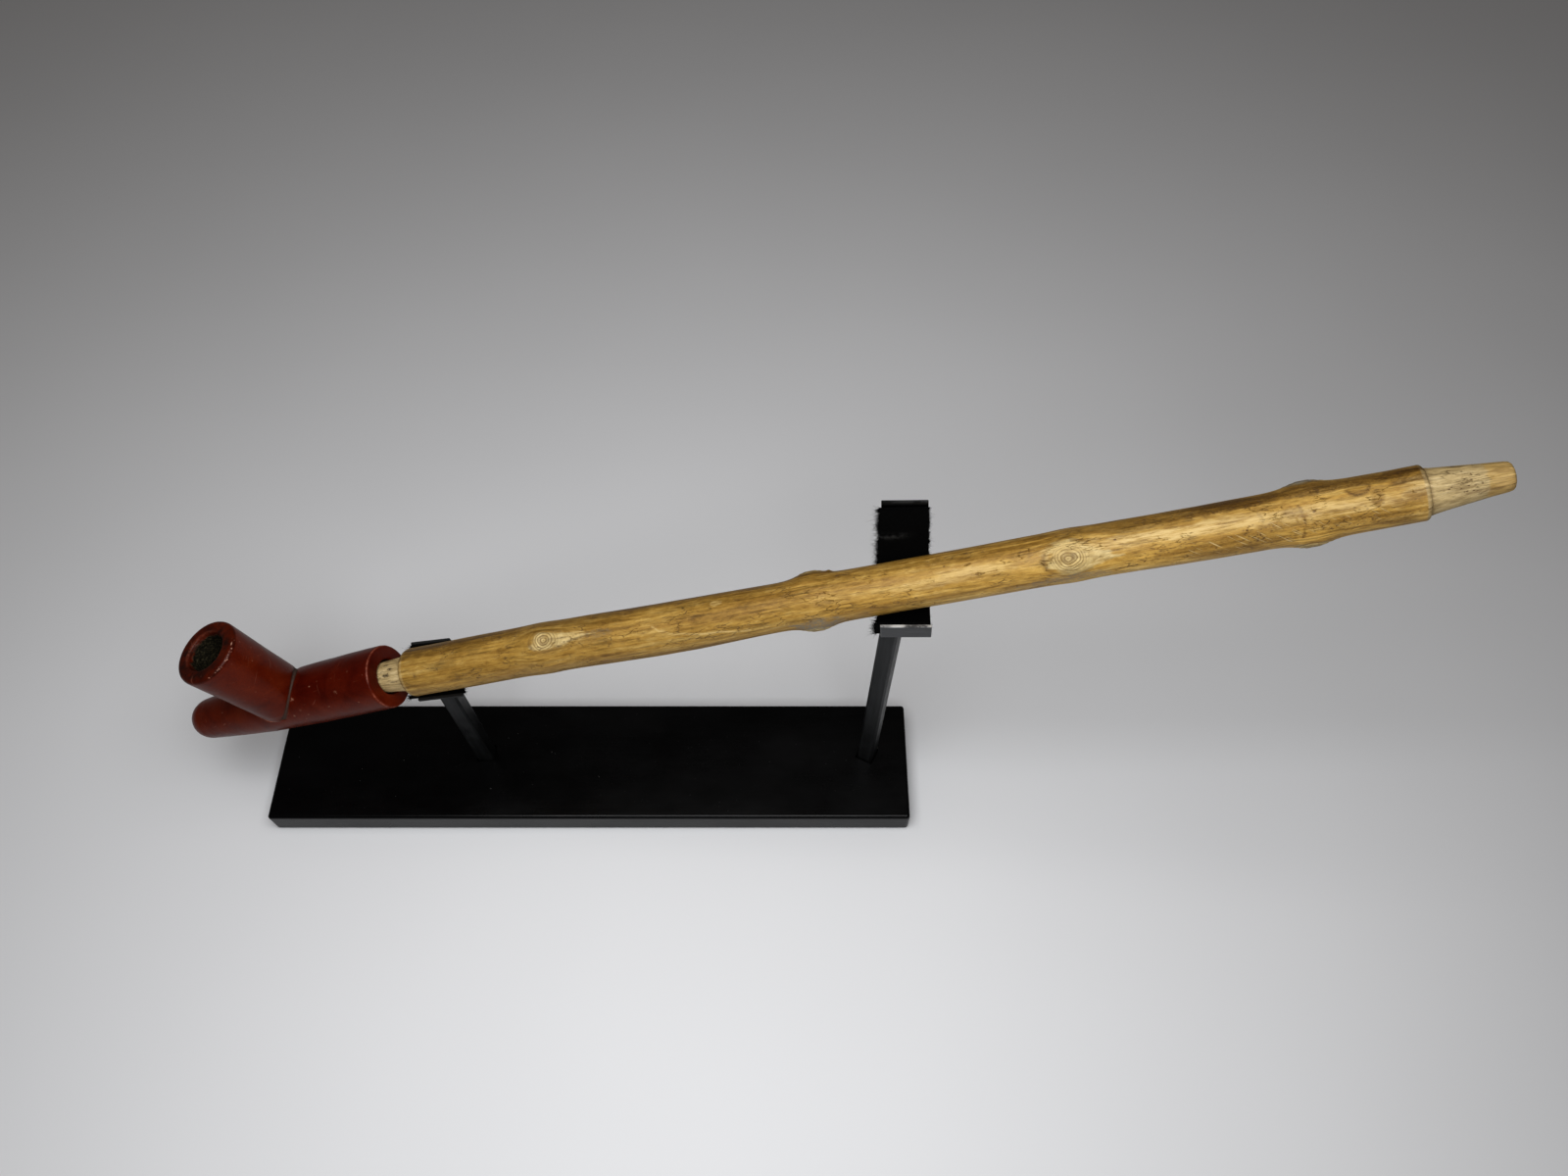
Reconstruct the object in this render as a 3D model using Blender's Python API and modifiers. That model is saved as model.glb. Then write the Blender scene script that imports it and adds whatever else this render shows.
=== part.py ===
"""A long-stemmed tobacco pipe resting on a two-post display stand.

The pipe has two pieces: a T-shaped stone bowl, and a stem cut from one wooden stick,
with a tenon at one end and a whittled mouthpiece at the other. The stand is a black
board with two steel posts, each ending in a bent-strip bracket lined with felt.

Metres, +Z up. +X runs along the board towards the mouthpiece, +Y towards the back of
the stand, where the brackets' tall plates are. The origin is the centre of the
board's underside.
"""

import math

import bmesh
import bpy
from mathutils import Matrix, Vector

MM = 0.001
GAP = 0.3 * MM  # left between solids that touch

# Board
BOARD_LENGTH = 404.0 * MM
BOARD_DEPTH = 78.0 * MM
BOARD_HEIGHT = 19.0 * MM
BOARD_EDGE = 1.9 * MM  # radius of its eased edges

# Posts: square bar with broken corners, let into the board and held from below
POST_WIDTH = 10.2 * MM
POST_CORNER = 1.2 * MM
POST_Y = 4.7 * MM
MORTISE_DEPTH = 9.5 * MM
THREAD_RADIUS = 2.0 * MM
THREAD_DEPTH = 11.0 * MM
COUNTERBORE_RADIUS = 5.6 * MM
COUNTERBORE_DEPTH = 5.0 * MM
WASHER_RADIUS = 4.8 * MM
WASHER_HEIGHT = 0.8 * MM
HEAD_RADIUS = 3.6 * MM
HEAD_HEIGHT = 2.8 * MM
KEY_RADIUS = 1.45 * MM  # six-sided socket in the screw's head
KEY_DEPTH = 1.4 * MM

# Brackets: one bent strip each, wider at the lip than at the top of its back plate
STRIP_THICK = 1.6 * MM
LIP_WIDTH = 25.4 * MM
PLATE_WIDTH = 22.0 * MM
BEND_RADIUS = 1.6 * MM
FELT_THICK = 1.2 * MM

# Stem: its axis is a straight line in the plane Y = POST_Y
STEM_SLOPE = math.radians(19.44)
SHOULDER = Vector((-85.5 * MM, POST_Y, 134.3 * MM))
BODY_LENGTH = 519.6 * MM
STEM_LENGTH = 552.4 * MM  # shoulder to the tip of the mouthpiece
TENON_SHOWN = 16.0 * MM
SMOKE_RADIUS = 2.5 * MM
STEM_SIDES = 28
RING_SPACING = 13.0 * MM
SHOULDER_ROUND = 3.0 * MM
FAR_END_ROUND = 1.8 * MM

# Distance from the shoulder and diameter, both in millimetres
BODY_DIAMETERS = (
    (0, 27.3), (157, 27.2), (225, 25.1), (250, 25.7), (320, 25.4), (400, 25.0), (450, 25.3), (520, 24.9),
)
# Distance from the shoulder and radius of the tenon, from its hidden end to the shoulder
TENON_RADII = ((-44.0, 6.9), (-43.2, 7.6), (-16.0, 9.0), (-0.2, 10.5))
# Distance from the body's far end and radius of the mouthpiece
MOUTHPIECE_RADII = (
    (0.4, 10.7), (2.0, 10.2), (8.0, 9.4), (16.0, 8.3), (24.0, 7.3), (30.0, 6.3), (32.0, 5.4), (32.8, 4.6),
)
# Distance from the shoulder and rise of the centre line above the straight axis
BODY_SWAY = ((0, 0.0), (84, 0.9), (160, -1.0), (237, 0.0), (365, 0.2), (430, -0.7), (500, 0.0), (552, 1.2))
# Distance from the shoulder, height and turn of each pair of opposite knots; the turn
# is measured from straight up towards the front of the stand
KNOTS = ((84, 1.6, 28), (237, 2.3, 118), (365, 1.8, 28), (470, 2.0, 118))
KNOT_LENGTH = 9.0 * MM
KNOT_SWELL = 0.5 * MM

# Bowl: the shank runs down from the socket's mouth to the prow
SHANK_SLOPE = math.radians(24.5)
SHANK_LENGTH = 147.2 * MM
SHANK_MOUTH_RADIUS = 18.1 * MM
SHANK_RAISE = 0.5 * MM  # how far its axis passes above the middle of the socket's mouth
SHANK_EDGE = 1.2 * MM
# Distance from the mouth and radius, both in millimetres
SHANK_RADII = ((25, 18.0), (50, 17.5), (72, 16.8), (88, 16.2), (104, 15.1), (119, 13.8), (133, 12.5))
CHIMNEY_FROM_MOUTH = 73.2 * MM
CHIMNEY_LEAN = math.radians(23.0)  # from the vertical, away from the stem
CHIMNEY_LENGTH = 65.4 * MM
RIM_RADIUS = 19.3 * MM
RIM_ROUND = 2.4 * MM
# Height above the shank's axis and radius, both in millimetres
CHIMNEY_RADII = ((50, 18.7), (36, 18.0), (22, 17.5), (10, 17.0), (0, 15.8))
CHAMBER_RADIUS = 11.3 * MM
CHAMBER_FLARE = 1.4 * MM
CHAMBER_RADII = ((36, 10.7), (14, 9.6))
CHAMBER_ROUND = 14.5 * MM  # depth of its round bottom
SOCKET_MOUTH_RADIUS = 10.2 * MM
SOCKET_END_RADIUS = 8.2 * MM
SOCKET_DEPTH = 30.0 * MM
DRAUGHT_RADIUS = 3.0 * MM
BOWL_STEPS = 48


def clear_scene():
    for obj in list(bpy.data.objects):
        bpy.data.objects.remove(obj, do_unlink=True)


def new_collection(name):
    collection = bpy.data.collections.new(name)
    bpy.context.scene.collection.children.link(collection)
    return collection


def material(name, colour, roughness, metallic=0.0):
    """A Principled material of one colour."""
    made = bpy.data.materials.new(name)
    made.use_nodes = True
    shader = made.node_tree.nodes["Principled BSDF"]
    shader.inputs["Base Color"].default_value = (*colour, 1.0)
    shader.inputs["Roughness"].default_value = roughness
    shader.inputs["Metallic"].default_value = metallic
    return made


def add_object(name, mesh, collection, finish=None):
    obj = bpy.data.objects.new(name, mesh)
    collection.objects.link(obj)
    if finish:
        mesh.materials.append(finish)
    return obj


def add_cutter(name, mesh):
    obj = add_object(name, mesh, CUTTERS)
    obj.hide_render = True
    obj.display_type = "WIRE"
    return obj


def boolean(obj, other, operation):
    modifier = obj.modifiers.new(f"{operation.lower()} {other.name}", "BOOLEAN")
    modifier.operation = operation
    modifier.object = other
    modifier.solver = "EXACT"


def mesh_from(bm, name):
    bmesh.ops.recalc_face_normals(bm, faces=bm.faces)
    mesh = bpy.data.meshes.new(name)
    bm.to_mesh(mesh)
    bm.free()
    return mesh


def smooth(mesh, angle=35.0):
    mesh.shade_smooth()
    mesh.set_sharp_from_angle(angle=math.radians(angle))


def box_mesh(name, size, centre=(0.0, 0.0, 0.0)):
    bm = bmesh.new()
    bmesh.ops.create_cube(bm, size=1.0)
    bmesh.ops.scale(bm, vec=size, verts=bm.verts)
    bmesh.ops.translate(bm, vec=centre, verts=bm.verts)
    return mesh_from(bm, name)


def cylinder_mesh(name, radius, low, high, sides=32):
    """An upright cylinder between two heights."""
    bm = bmesh.new()
    bmesh.ops.create_cone(bm, cap_ends=True, segments=sides, radius1=radius, radius2=radius, depth=high - low)
    bmesh.ops.translate(bm, vec=(0.0, 0.0, (low + high) / 2), verts=bm.verts)
    mesh = mesh_from(bm, name)
    smooth(mesh)
    return mesh


def quarter_round(centre_radius, centre_height, radius, steps, from_top=True):
    """The points of a rounded edge on a turned profile, from its end face out to its side."""
    points = []
    for step in range(steps + 1):
        turn = math.pi / 2 * step / steps
        across = centre_radius + radius * math.sin(turn)
        up = radius * math.cos(turn)
        points.append((across, centre_height + (up if from_top else -up)))
    return points if from_top else points[::-1]


def turned_mesh(name, profile):
    """The mesh of a profile of (radius, height) points, which runs from top to bottom."""
    bm = bmesh.new()
    corners = [bm.verts.new((across, 0.0, up)) for across, up in profile]
    for first, second in zip(corners, corners[1:]):
        bm.edges.new((first, second))
    mesh = bpy.data.meshes.new(name)
    bm.to_mesh(mesh)
    bm.free()
    return mesh


def add_screw(obj, steps):
    modifier = obj.modifiers.new("turn", "SCREW")
    modifier.axis = "Z"
    modifier.steps = steps
    modifier.render_steps = steps
    modifier.use_merge_vertices = True
    modifier.merge_threshold = 0.00002
    modifier.use_smooth_shade = True


def aim(obj, origin, slope):
    """Puts a turned object's top at origin, with its axis rising by slope above +X."""
    obj.location = origin
    obj.rotation_euler = (0.0, math.pi / 2 - slope, 0.0)


def interpolate(stations, where):
    """A value read smoothly between (position, value) pairs."""
    if where <= stations[0][0]:
        return stations[0][1]
    for (start, low), (end, high) in zip(stations, stations[1:]):
        if where <= end:
            part = (where - start) / (end - start)
            return low + (high - low) * (1 - math.cos(math.pi * part)) / 2
    return stations[-1][1]


def along(slope):
    return Vector((math.cos(slope), 0.0, math.sin(slope)))


# The stem


def knot_height(station, turn):
    """How far the knots raise the stick's surface, at a distance along it and a turn round it."""
    raised = 0.0
    for place, height, facing in KNOTS:
        near = math.exp(-(((station - place * MM) / KNOT_LENGTH) ** 2))
        toward = math.cos(turn - math.radians(facing))
        raised += near * (KNOT_SWELL + height * MM * toward**4)
    return raised


def stem_ring(bm, station, radius, knotty=False, swaying=True):
    """One ring of points round the stem's axis, which is local X."""
    rise = interpolate(BODY_SWAY, station / MM) * MM if swaying else 0.0
    ring = []
    for side in range(STEM_SIDES):
        turn = 2 * math.pi * side / STEM_SIDES
        reach = radius + (knot_height(station, turn) if knotty else 0.0)
        ring.append(bm.verts.new((station, -reach * math.sin(turn), rise + reach * math.cos(turn))))
    return ring


def body_stations():
    """Places along the stick where it gets a ring: closer together at the knots."""
    margin = 4.0 * MM
    length = BODY_LENGTH - 2 * margin
    count = round(length / RING_SPACING)
    even = [margin + length * i / count for i in range(count + 1)]
    kept = [s for s in even if all(abs(s - place * MM) > 16 * MM for place, _, _ in KNOTS)]
    near = [place * MM + offset * MM for place, _, _ in KNOTS for offset in (-14, -9, -5, 0, 5, 9, 14)]
    return sorted(kept + near)


def stem_mesh():
    """The tenon, the stick and the mouthpiece as one loft, with the smoke hole through them."""
    bm = bmesh.new()
    rings = [stem_ring(bm, TENON_RADII[0][0] * MM, SMOKE_RADIUS, swaying=False)]
    for station, radius in TENON_RADII:
        rings.append(stem_ring(bm, station * MM, radius * MM, swaying=False))
    first_radius = BODY_DIAMETERS[0][1] / 2 * MM
    for across, up in quarter_round(first_radius - SHOULDER_ROUND, -SHOULDER_ROUND, SHOULDER_ROUND, 4):
        rings.append(stem_ring(bm, -up, across))
    for station in body_stations():
        radius = interpolate(BODY_DIAMETERS, station / MM) / 2 * MM
        rings.append(stem_ring(bm, station, radius, knotty=True))
    last_radius = BODY_DIAMETERS[-1][1] / 2 * MM
    far_round = quarter_round(last_radius - FAR_END_ROUND, BODY_LENGTH - FAR_END_ROUND, FAR_END_ROUND, 3)
    for across, up in reversed(far_round):
        rings.append(stem_ring(bm, up, across))
    for distance, radius in MOUTHPIECE_RADII:
        rings.append(stem_ring(bm, BODY_LENGTH + distance * MM, radius * MM))
    rings.append(stem_ring(bm, STEM_LENGTH, SMOKE_RADIUS))
    for ring, following in zip(rings, rings[1:] + rings[:1]):
        for side in range(STEM_SIDES):
            after = (side + 1) % STEM_SIDES
            bm.faces.new((ring[side], ring[after], following[after], following[side]))
    mesh = mesh_from(bm, "pipe_stem")
    smooth(mesh)
    return mesh


def make_stem():
    """The stem, with its origin at the shoulder and its length along local X."""
    obj = add_object("pipe_stem", stem_mesh(), PARTS, WOOD)
    obj.location = SHOULDER
    obj.rotation_euler = (0.0, -STEM_SLOPE, 0.0)
    return obj


# The bowl


def shank_profile():
    """From the socket's face, down the side, to the rounded prow."""
    points = [(0.0, 0.0)] + quarter_round(SHANK_MOUTH_RADIUS - SHANK_EDGE, -SHANK_EDGE, SHANK_EDGE, 3)
    points += [(radius * MM, -distance * MM) for distance, radius in SHANK_RADII]
    last_radius, last_height = points[-1]
    dome = SHANK_LENGTH + last_height
    steps = 8
    for step in range(1, steps + 1):
        turn = math.pi / 2 * step / steps
        points.append((last_radius * math.cos(turn), last_height - dome * math.sin(turn)))
    points[-1] = (0.0, -SHANK_LENGTH)
    return points


def chimney_profile():
    """From the rim, down the side, to a foot that lies inside the shank."""
    points = [(0.0, CHIMNEY_LENGTH)]
    points += quarter_round(RIM_RADIUS - RIM_ROUND, CHIMNEY_LENGTH - RIM_ROUND, RIM_ROUND, 4)
    points += [(radius * MM, height * MM) for height, radius in CHIMNEY_RADII]
    return points + [(0.0, 0.0)]


def chamber_profile():
    """The tobacco chamber: a little flared at its mouth, with a round bottom."""
    above = CHIMNEY_LENGTH + 2 * MM
    points = [(0.0, above), (CHAMBER_RADIUS + CHAMBER_FLARE, above)]
    points += [(CHAMBER_RADIUS, CHIMNEY_LENGTH - 2 * MM)]
    points += [(radius * MM, height * MM) for height, radius in CHAMBER_RADII]
    last_radius, last_height = points[-1]
    steps = 5
    for step in range(1, steps + 1):
        turn = math.pi / 2 * step / steps
        points.append((last_radius * math.cos(turn), last_height - CHAMBER_ROUND * math.sin(turn)))
    points[-1] = (0.0, last_height - CHAMBER_ROUND)
    return points


def turned_cutter(name, profile, steps):
    obj = add_cutter(name, turned_mesh(name, profile))
    add_screw(obj, steps)
    return obj


def make_bowl():
    """The shank and the chimney joined, then bored, with the origin at the socket's mouth."""
    socket_mouth = SHOULDER - along(STEM_SLOPE) * TENON_SHOWN
    shank_mouth = socket_mouth + along(SHANK_SLOPE + math.pi / 2) * SHANK_RAISE
    junction = shank_mouth - along(SHANK_SLOPE) * CHIMNEY_FROM_MOUTH
    bowl = add_object("pipe_bowl", turned_mesh("pipe_bowl", shank_profile()), PARTS, STONE)
    add_screw(bowl, BOWL_STEPS)
    aim(bowl, shank_mouth, SHANK_SLOPE)

    chimney_slope = math.pi / 2 + CHIMNEY_LEAN
    chimney = turned_cutter("chimney_form", chimney_profile(), BOWL_STEPS)
    aim(chimney, junction, chimney_slope)
    boolean(bowl, chimney, "UNION")

    chamber = turned_cutter("chamber_cutter", chamber_profile(), 32)
    aim(chamber, junction, chimney_slope)
    socket_out = 2.0 * MM
    socket = [(0.0, socket_out), (SOCKET_MOUTH_RADIUS + 0.1 * MM, socket_out)]
    socket += [(SOCKET_END_RADIUS, -SOCKET_DEPTH), (0.0, -SOCKET_DEPTH)]
    socket_cutter = turned_cutter("socket_cutter", socket, 32)
    aim(socket_cutter, socket_mouth, STEM_SLOPE)
    draught_top = 1.0 * MM - SOCKET_DEPTH
    draught = cylinder_mesh("draught_cutter", DRAUGHT_RADIUS, -CHIMNEY_FROM_MOUTH, draught_top, 18)
    draught_cutter = add_cutter("draught_cutter", draught)
    aim(draught_cutter, socket_mouth, STEM_SLOPE)
    for cutter in (chamber, socket_cutter, draught_cutter):
        boolean(bowl, cutter, "DIFFERENCE")
    return bowl


# The brackets


def strip_path(lip, floor_depth, plate, inset):
    """The (y, z) points of a line along a bracket's channel, from the lip's top to the plate's top.

    The channel's floor is z = 0 and its middle y = 0. The line lies inset above the
    metal, so an inset of 0 is the metal's own inner face.
    """
    radius = max(BEND_RADIUS - inset, 0.4 * MM)
    front = -floor_depth / 2 + inset
    back = floor_depth / 2 - inset
    points = [(front, lip)]
    for centre_y, start in ((front + radius, math.pi), (back - radius, 1.5 * math.pi)):
        for step in range(5):
            turn = start + math.pi / 2 * step / 4
            points.append((centre_y + radius * math.cos(turn), inset + radius + radius * math.sin(turn)))
    points.append((back, plate))
    return points


def strip_mesh(name, path, lip_edges, plate_edges):
    """An open strip along a path, whose side edges run straight from the lip to the plate's top."""
    lengths = [0.0]
    for (y0, z0), (y1, z1) in zip(path, path[1:]):
        lengths.append(lengths[-1] + math.hypot(y1 - y0, z1 - z0))
    bm = bmesh.new()
    rows = []
    for (y, z), length in zip(path, lengths):
        part = length / lengths[-1]
        edges = [front + (back - front) * part for front, back in zip(lip_edges, plate_edges)]
        rows.append([bm.verts.new((x, y, z)) for x in edges])
    for (left, right), (next_left, next_right) in zip(rows, rows[1:]):
        bm.faces.new((left, right, next_right, next_left))
    mesh = bpy.data.meshes.new(name)
    bm.to_mesh(mesh)
    bm.free()
    return mesh


def add_solidify(obj, thickness, offset):
    modifier = obj.modifiers.new("thickness", "SOLIDIFY")
    modifier.thickness = thickness
    modifier.offset = offset
    modifier.use_even_offset = True


def add_bevel(obj, width, segments):
    modifier = obj.modifiers.new("eased edges", "BEVEL")
    modifier.width = width
    modifier.segments = segments
    modifier.limit_method = "ANGLE"


def bracket_frame(spec):
    """The matrix that puts a bracket's channel at its place on the stand."""
    turn = Matrix.Rotation(math.radians(spec["yaw"]), 4, "Z")
    roll = Matrix.Rotation(-math.radians(spec["roll"]), 4, "Y")
    return Matrix.Translation(Vector((spec["x"] * MM, spec["y"] * MM, spec["z"] * MM))) @ turn @ roll


def make_bracket(side, spec):
    """A bent steel strip and its felt lining; both share the channel's frame."""
    depth = spec["depth"] * MM
    path = strip_path(spec["lip"] * MM, depth, spec["plate"] * MM, 0.0)
    skew = spec["skew"] * MM
    edges = [(-LIP_WIDTH / 2, LIP_WIDTH / 2), (skew - PLATE_WIDTH / 2, skew + PLATE_WIDTH / 2)]
    bracket = add_object(f"{side}_bracket", strip_mesh(f"{side}_bracket", path, *edges), PARTS, STEEL)
    add_solidify(bracket, STRIP_THICK, -1.0)
    felt_lip = spec["felt_lip"] * MM
    felt_plate = spec["plate"] * MM - spec["felt_below"] * MM
    path = strip_path(felt_lip, depth, felt_plate, GAP)
    edges = [[edge * MM for edge in spec[key]] for key in ("felt_front", "felt_back")]
    felt = add_object(f"{side}_felt", strip_mesh(f"{side}_felt", path, *edges), PARTS, FELT)
    add_solidify(felt, FELT_THICK, 1.0)
    for obj in (bracket, felt):
        obj.matrix_world = bracket_frame(spec)


# The posts, the board and their fastenings


def post_mesh(name, spec, bracket):
    """An upright bar whose top is cut to lie against the bracket's sloping underside."""
    frame = bracket_frame(bracket)
    normal = (frame.to_3x3() @ Vector((0.0, 0.0, 1.0))).normalized()
    face = frame @ Vector((0.0, 0.0, -STRIP_THICK - GAP))
    foot = BOARD_HEIGHT - MORTISE_DEPTH + GAP
    bm = bmesh.new()
    bmesh.ops.create_cube(bm, size=POST_WIDTH)
    upright = [e for e in bm.edges if abs(e.verts[0].co.z - e.verts[1].co.z) > POST_WIDTH / 2]
    bmesh.ops.bevel(bm, geom=upright, offset=POST_CORNER, segments=1, affect="EDGES")
    turned = Matrix.Rotation(math.radians(spec["turn"]), 3, "Z")
    bmesh.ops.rotate(bm, cent=(0, 0, 0), matrix=turned, verts=bm.verts)
    for vert in bm.verts:
        if vert.co.z < 0:
            vert.co.z = foot
            continue
        across = Vector((vert.co.x + spec["x"] * MM, vert.co.y + POST_Y, 0.0)) - face
        vert.co.z = face.z - (normal.x * across.x + normal.y * across.y) / normal.z
    for vert in bm.verts:
        vert.co.x += (vert.co.z - BOARD_HEIGHT) * math.tan(math.radians(spec["lean"]))
    return mesh_from(bm, name)


def make_post(side, spec, bracket):
    post = add_object(f"{side}_post", post_mesh(f"{side}_post", spec, bracket), PARTS, STEEL)
    post.location = (spec["x"] * MM, POST_Y, 0.0)
    foot = BOARD_HEIGHT - MORTISE_DEPTH + GAP
    hole = cylinder_mesh(f"{side}_thread", THREAD_RADIUS + GAP, foot - MM, foot + THREAD_DEPTH, 16)
    cutter = add_cutter(f"{side}_thread", hole)
    cutter.location = post.location
    boolean(post, cutter, "DIFFERENCE")


def make_fastening(side, spec):
    """The washer and the screw that pull a post down into the board."""
    seat = COUNTERBORE_DEPTH - GAP
    washer = cylinder_mesh(f"{side}_washer", WASHER_RADIUS, seat - WASHER_HEIGHT, seat)
    washer = add_object(f"{side}_washer", washer, PARTS, STEEL)
    washer_hole = cylinder_mesh("hole", THREAD_RADIUS + GAP, -MM, BOARD_HEIGHT, 16)
    washer_hole = add_cutter(f"{side}_washer_hole", washer_hole)
    boolean(washer, washer_hole, "DIFFERENCE")

    head_top = seat - WASHER_HEIGHT - GAP
    tip = BOARD_HEIGHT - MORTISE_DEPTH + THREAD_DEPTH - 1.5 * MM
    point = 0.5 * MM
    profile = [(0.0, tip), (THREAD_RADIUS - point, tip), (THREAD_RADIUS, tip - point)]
    profile += [(THREAD_RADIUS, head_top), (HEAD_RADIUS, head_top)]
    profile += quarter_round(HEAD_RADIUS - MM, head_top - HEAD_HEIGHT + MM, MM, 3, from_top=False)
    profile += [(0.0, head_top - HEAD_HEIGHT)]
    screw = add_object(f"{side}_screw", turned_mesh(f"{side}_screw", profile), PARTS, STEEL)
    add_screw(screw, 24)
    socket = cylinder_mesh("socket", KEY_RADIUS, -MM, head_top - HEAD_HEIGHT + KEY_DEPTH, 6)
    key = add_cutter(f"{side}_key_socket", socket)
    boolean(screw, key, "DIFFERENCE")
    for obj in (washer, washer_hole, screw, key):
        obj.location = (spec["x"] * MM, POST_Y, 0.0)


def make_board(posts):
    """The board, with a mortise, a screw hole and a counterbore for each post."""
    size = (BOARD_LENGTH, BOARD_DEPTH, BOARD_HEIGHT)
    board = add_object("base_board", box_mesh("base_board", size, (0, 0, BOARD_HEIGHT / 2)), PARTS, PAINT)
    add_bevel(board, BOARD_EDGE, 4)
    for side, spec in posts.items():
        width = POST_WIDTH + 4 * GAP
        mortise = box_mesh("mortise", (width, width, 2 * MORTISE_DEPTH), (0, 0, BOARD_HEIGHT))
        mortise = add_cutter(f"{side}_mortise", mortise)
        mortise.rotation_euler = (0.0, 0.0, math.radians(spec["turn"]))
        clearance = cylinder_mesh("clearance", THREAD_RADIUS + GAP, -MM, BOARD_HEIGHT, 16)
        clearance = add_cutter(f"{side}_clearance", clearance)
        counterbore = cylinder_mesh("counterbore", COUNTERBORE_RADIUS, -MM, COUNTERBORE_DEPTH)
        counterbore = add_cutter(f"{side}_counterbore", counterbore)
        for cutter in (mortise, clearance, counterbore):
            cutter.location = (spec["x"] * MM, POST_Y, 0.0)
            boolean(board, cutter, "DIFFERENCE")


# Millimetres and degrees. A post leans towards +X by lean. A bracket's x, y and z are the
# middle of its channel's metal floor, and depth is the channel's width front to back.
# lip, plate and felt_lip are heights above that floor, and felt_below is how far the felt
# ends below the plate's top. skew moves the plate's top sideways. felt_front and
# felt_back are the felt's two side edges at its ends.
POSTS = {
    "left": {"x": -69.4, "turn": 0.0, "lean": -1.5},
    "right": {"x": 176.2, "turn": -27.0, "lean": 1.1},
}
BRACKETS = {
    "left": {
        "x": -73.3, "y": 8.4, "z": 120.2, "yaw": 5.5, "roll": 3.5, "depth": 25.0,
        "lip": 2.6, "plate": 20.0, "skew": -1.8, "felt_lip": 2.4, "felt_below": 0.6,
        "felt_front": (-17.0, 13.2), "felt_back": (-13.0, 9.6),
    },
    "right": {
        "x": 184.4, "y": 3.7, "z": 210.1, "yaw": -2.6, "roll": 4.9, "depth": 34.0,
        "lip": 11.0, "plate": 66.4, "skew": -0.4, "felt_lip": 10.2, "felt_below": 3.4,
        "felt_front": (-14.8, 11.4), "felt_back": (-12.4, 11.0),
    },
}

clear_scene()
PARTS = new_collection("tobacco_pipe_on_stand")
CUTTERS = new_collection("cutters")

STONE = material("red_stone", (0.19, 0.028, 0.018), 0.42)
WOOD = material("natural_wood", (0.52, 0.33, 0.13), 0.5)
PAINT = material("black_paint", (0.012, 0.012, 0.013), 0.42)
STEEL = material("dark_steel", (0.11, 0.11, 0.115), 0.42, 0.9)
FELT = material("black_felt", (0.01, 0.01, 0.011), 0.95)

make_board(POSTS)
for side_name, post_spec in POSTS.items():
    make_bracket(side_name, BRACKETS[side_name])
    make_post(side_name, post_spec, BRACKETS[side_name])
    make_fastening(side_name, post_spec)
make_stem()
make_bowl()
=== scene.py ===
"""The looks of a long-stemmed tobacco pipe on its display stand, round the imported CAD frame.

Metres, +Z up. The stem, the bowl, the felts and the brackets are fine meshes that stand for
their CAD nodes; the board, posts, screws and washers are the CAD nodes with better finishes.
Attributes named below are in millimetres, so that texture scales read as real sizes.
"""

import itertools
import math
from math import radians

import bmesh
import bpy
import numpy as np
from mathutils import Matrix, Vector


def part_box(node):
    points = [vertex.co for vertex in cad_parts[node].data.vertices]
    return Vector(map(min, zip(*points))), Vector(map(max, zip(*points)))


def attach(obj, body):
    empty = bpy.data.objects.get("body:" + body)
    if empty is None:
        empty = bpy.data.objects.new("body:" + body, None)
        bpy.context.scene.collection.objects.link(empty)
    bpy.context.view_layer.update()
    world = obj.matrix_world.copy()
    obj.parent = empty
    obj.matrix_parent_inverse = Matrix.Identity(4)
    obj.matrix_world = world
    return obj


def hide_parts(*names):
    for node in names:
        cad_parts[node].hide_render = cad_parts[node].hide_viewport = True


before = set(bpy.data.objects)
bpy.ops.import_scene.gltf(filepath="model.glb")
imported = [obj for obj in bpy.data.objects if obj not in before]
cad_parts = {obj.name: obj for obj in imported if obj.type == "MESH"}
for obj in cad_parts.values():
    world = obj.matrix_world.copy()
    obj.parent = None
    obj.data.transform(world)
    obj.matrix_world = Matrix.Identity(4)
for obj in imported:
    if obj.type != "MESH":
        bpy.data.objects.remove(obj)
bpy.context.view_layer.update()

MM = 0.001
GAP = 0.3  # millimetres, as in the CAD

# The stem, as in the CAD but for its two shoulders: millimetres and degrees
STEM_SLOPE = radians(19.44)
SHOULDER = Vector((-85.5, 4.7, 134.3)) * MM
BODY_START = -2.4
BODY_LENGTH = 518.2
STEM_LENGTH = 552.4
SMOKE_RADIUS = 2.5
STEM_RADIUS = 12.8  # on average, to turn angles into lengths round the stem
SHOULDER_ROUND = 3.0
FAR_END_ROUND = 1.8
BODY_DIAMETERS = (
    (0, 27.3), (157, 27.2), (225, 25.1), (250, 25.7), (320, 25.4), (400, 25.0), (450, 25.3), (520, 24.9),
)
BODY_SWAY = ((0, 0.0), (84, 0.9), (160, -1.0), (237, 0.0), (365, 0.2), (430, -0.7), (500, 0.0), (552, 1.2))
TENON_RADII = ((-44.0, 6.9), (-43.2, 7.6), (-16.0, 9.0), (-2.6, 10.3))
MOUTHPIECE_RADII = (
    (0.4, 10.8), (3.0, 10.2), (9.0, 9.4), (17.0, 8.4), (25.0, 7.4),
    (31.4, 6.8), (33.0, 6.4), (33.8, 5.6), (34.2, 4.6),
)
KNOTS = ((84, 1.6, 28), (237, 2.3, 118), (365, 1.8, 28), (470, 2.0, 118))
KNOT_LENGTH = 9.0
KNOT_SWELL = 0.5
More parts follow.
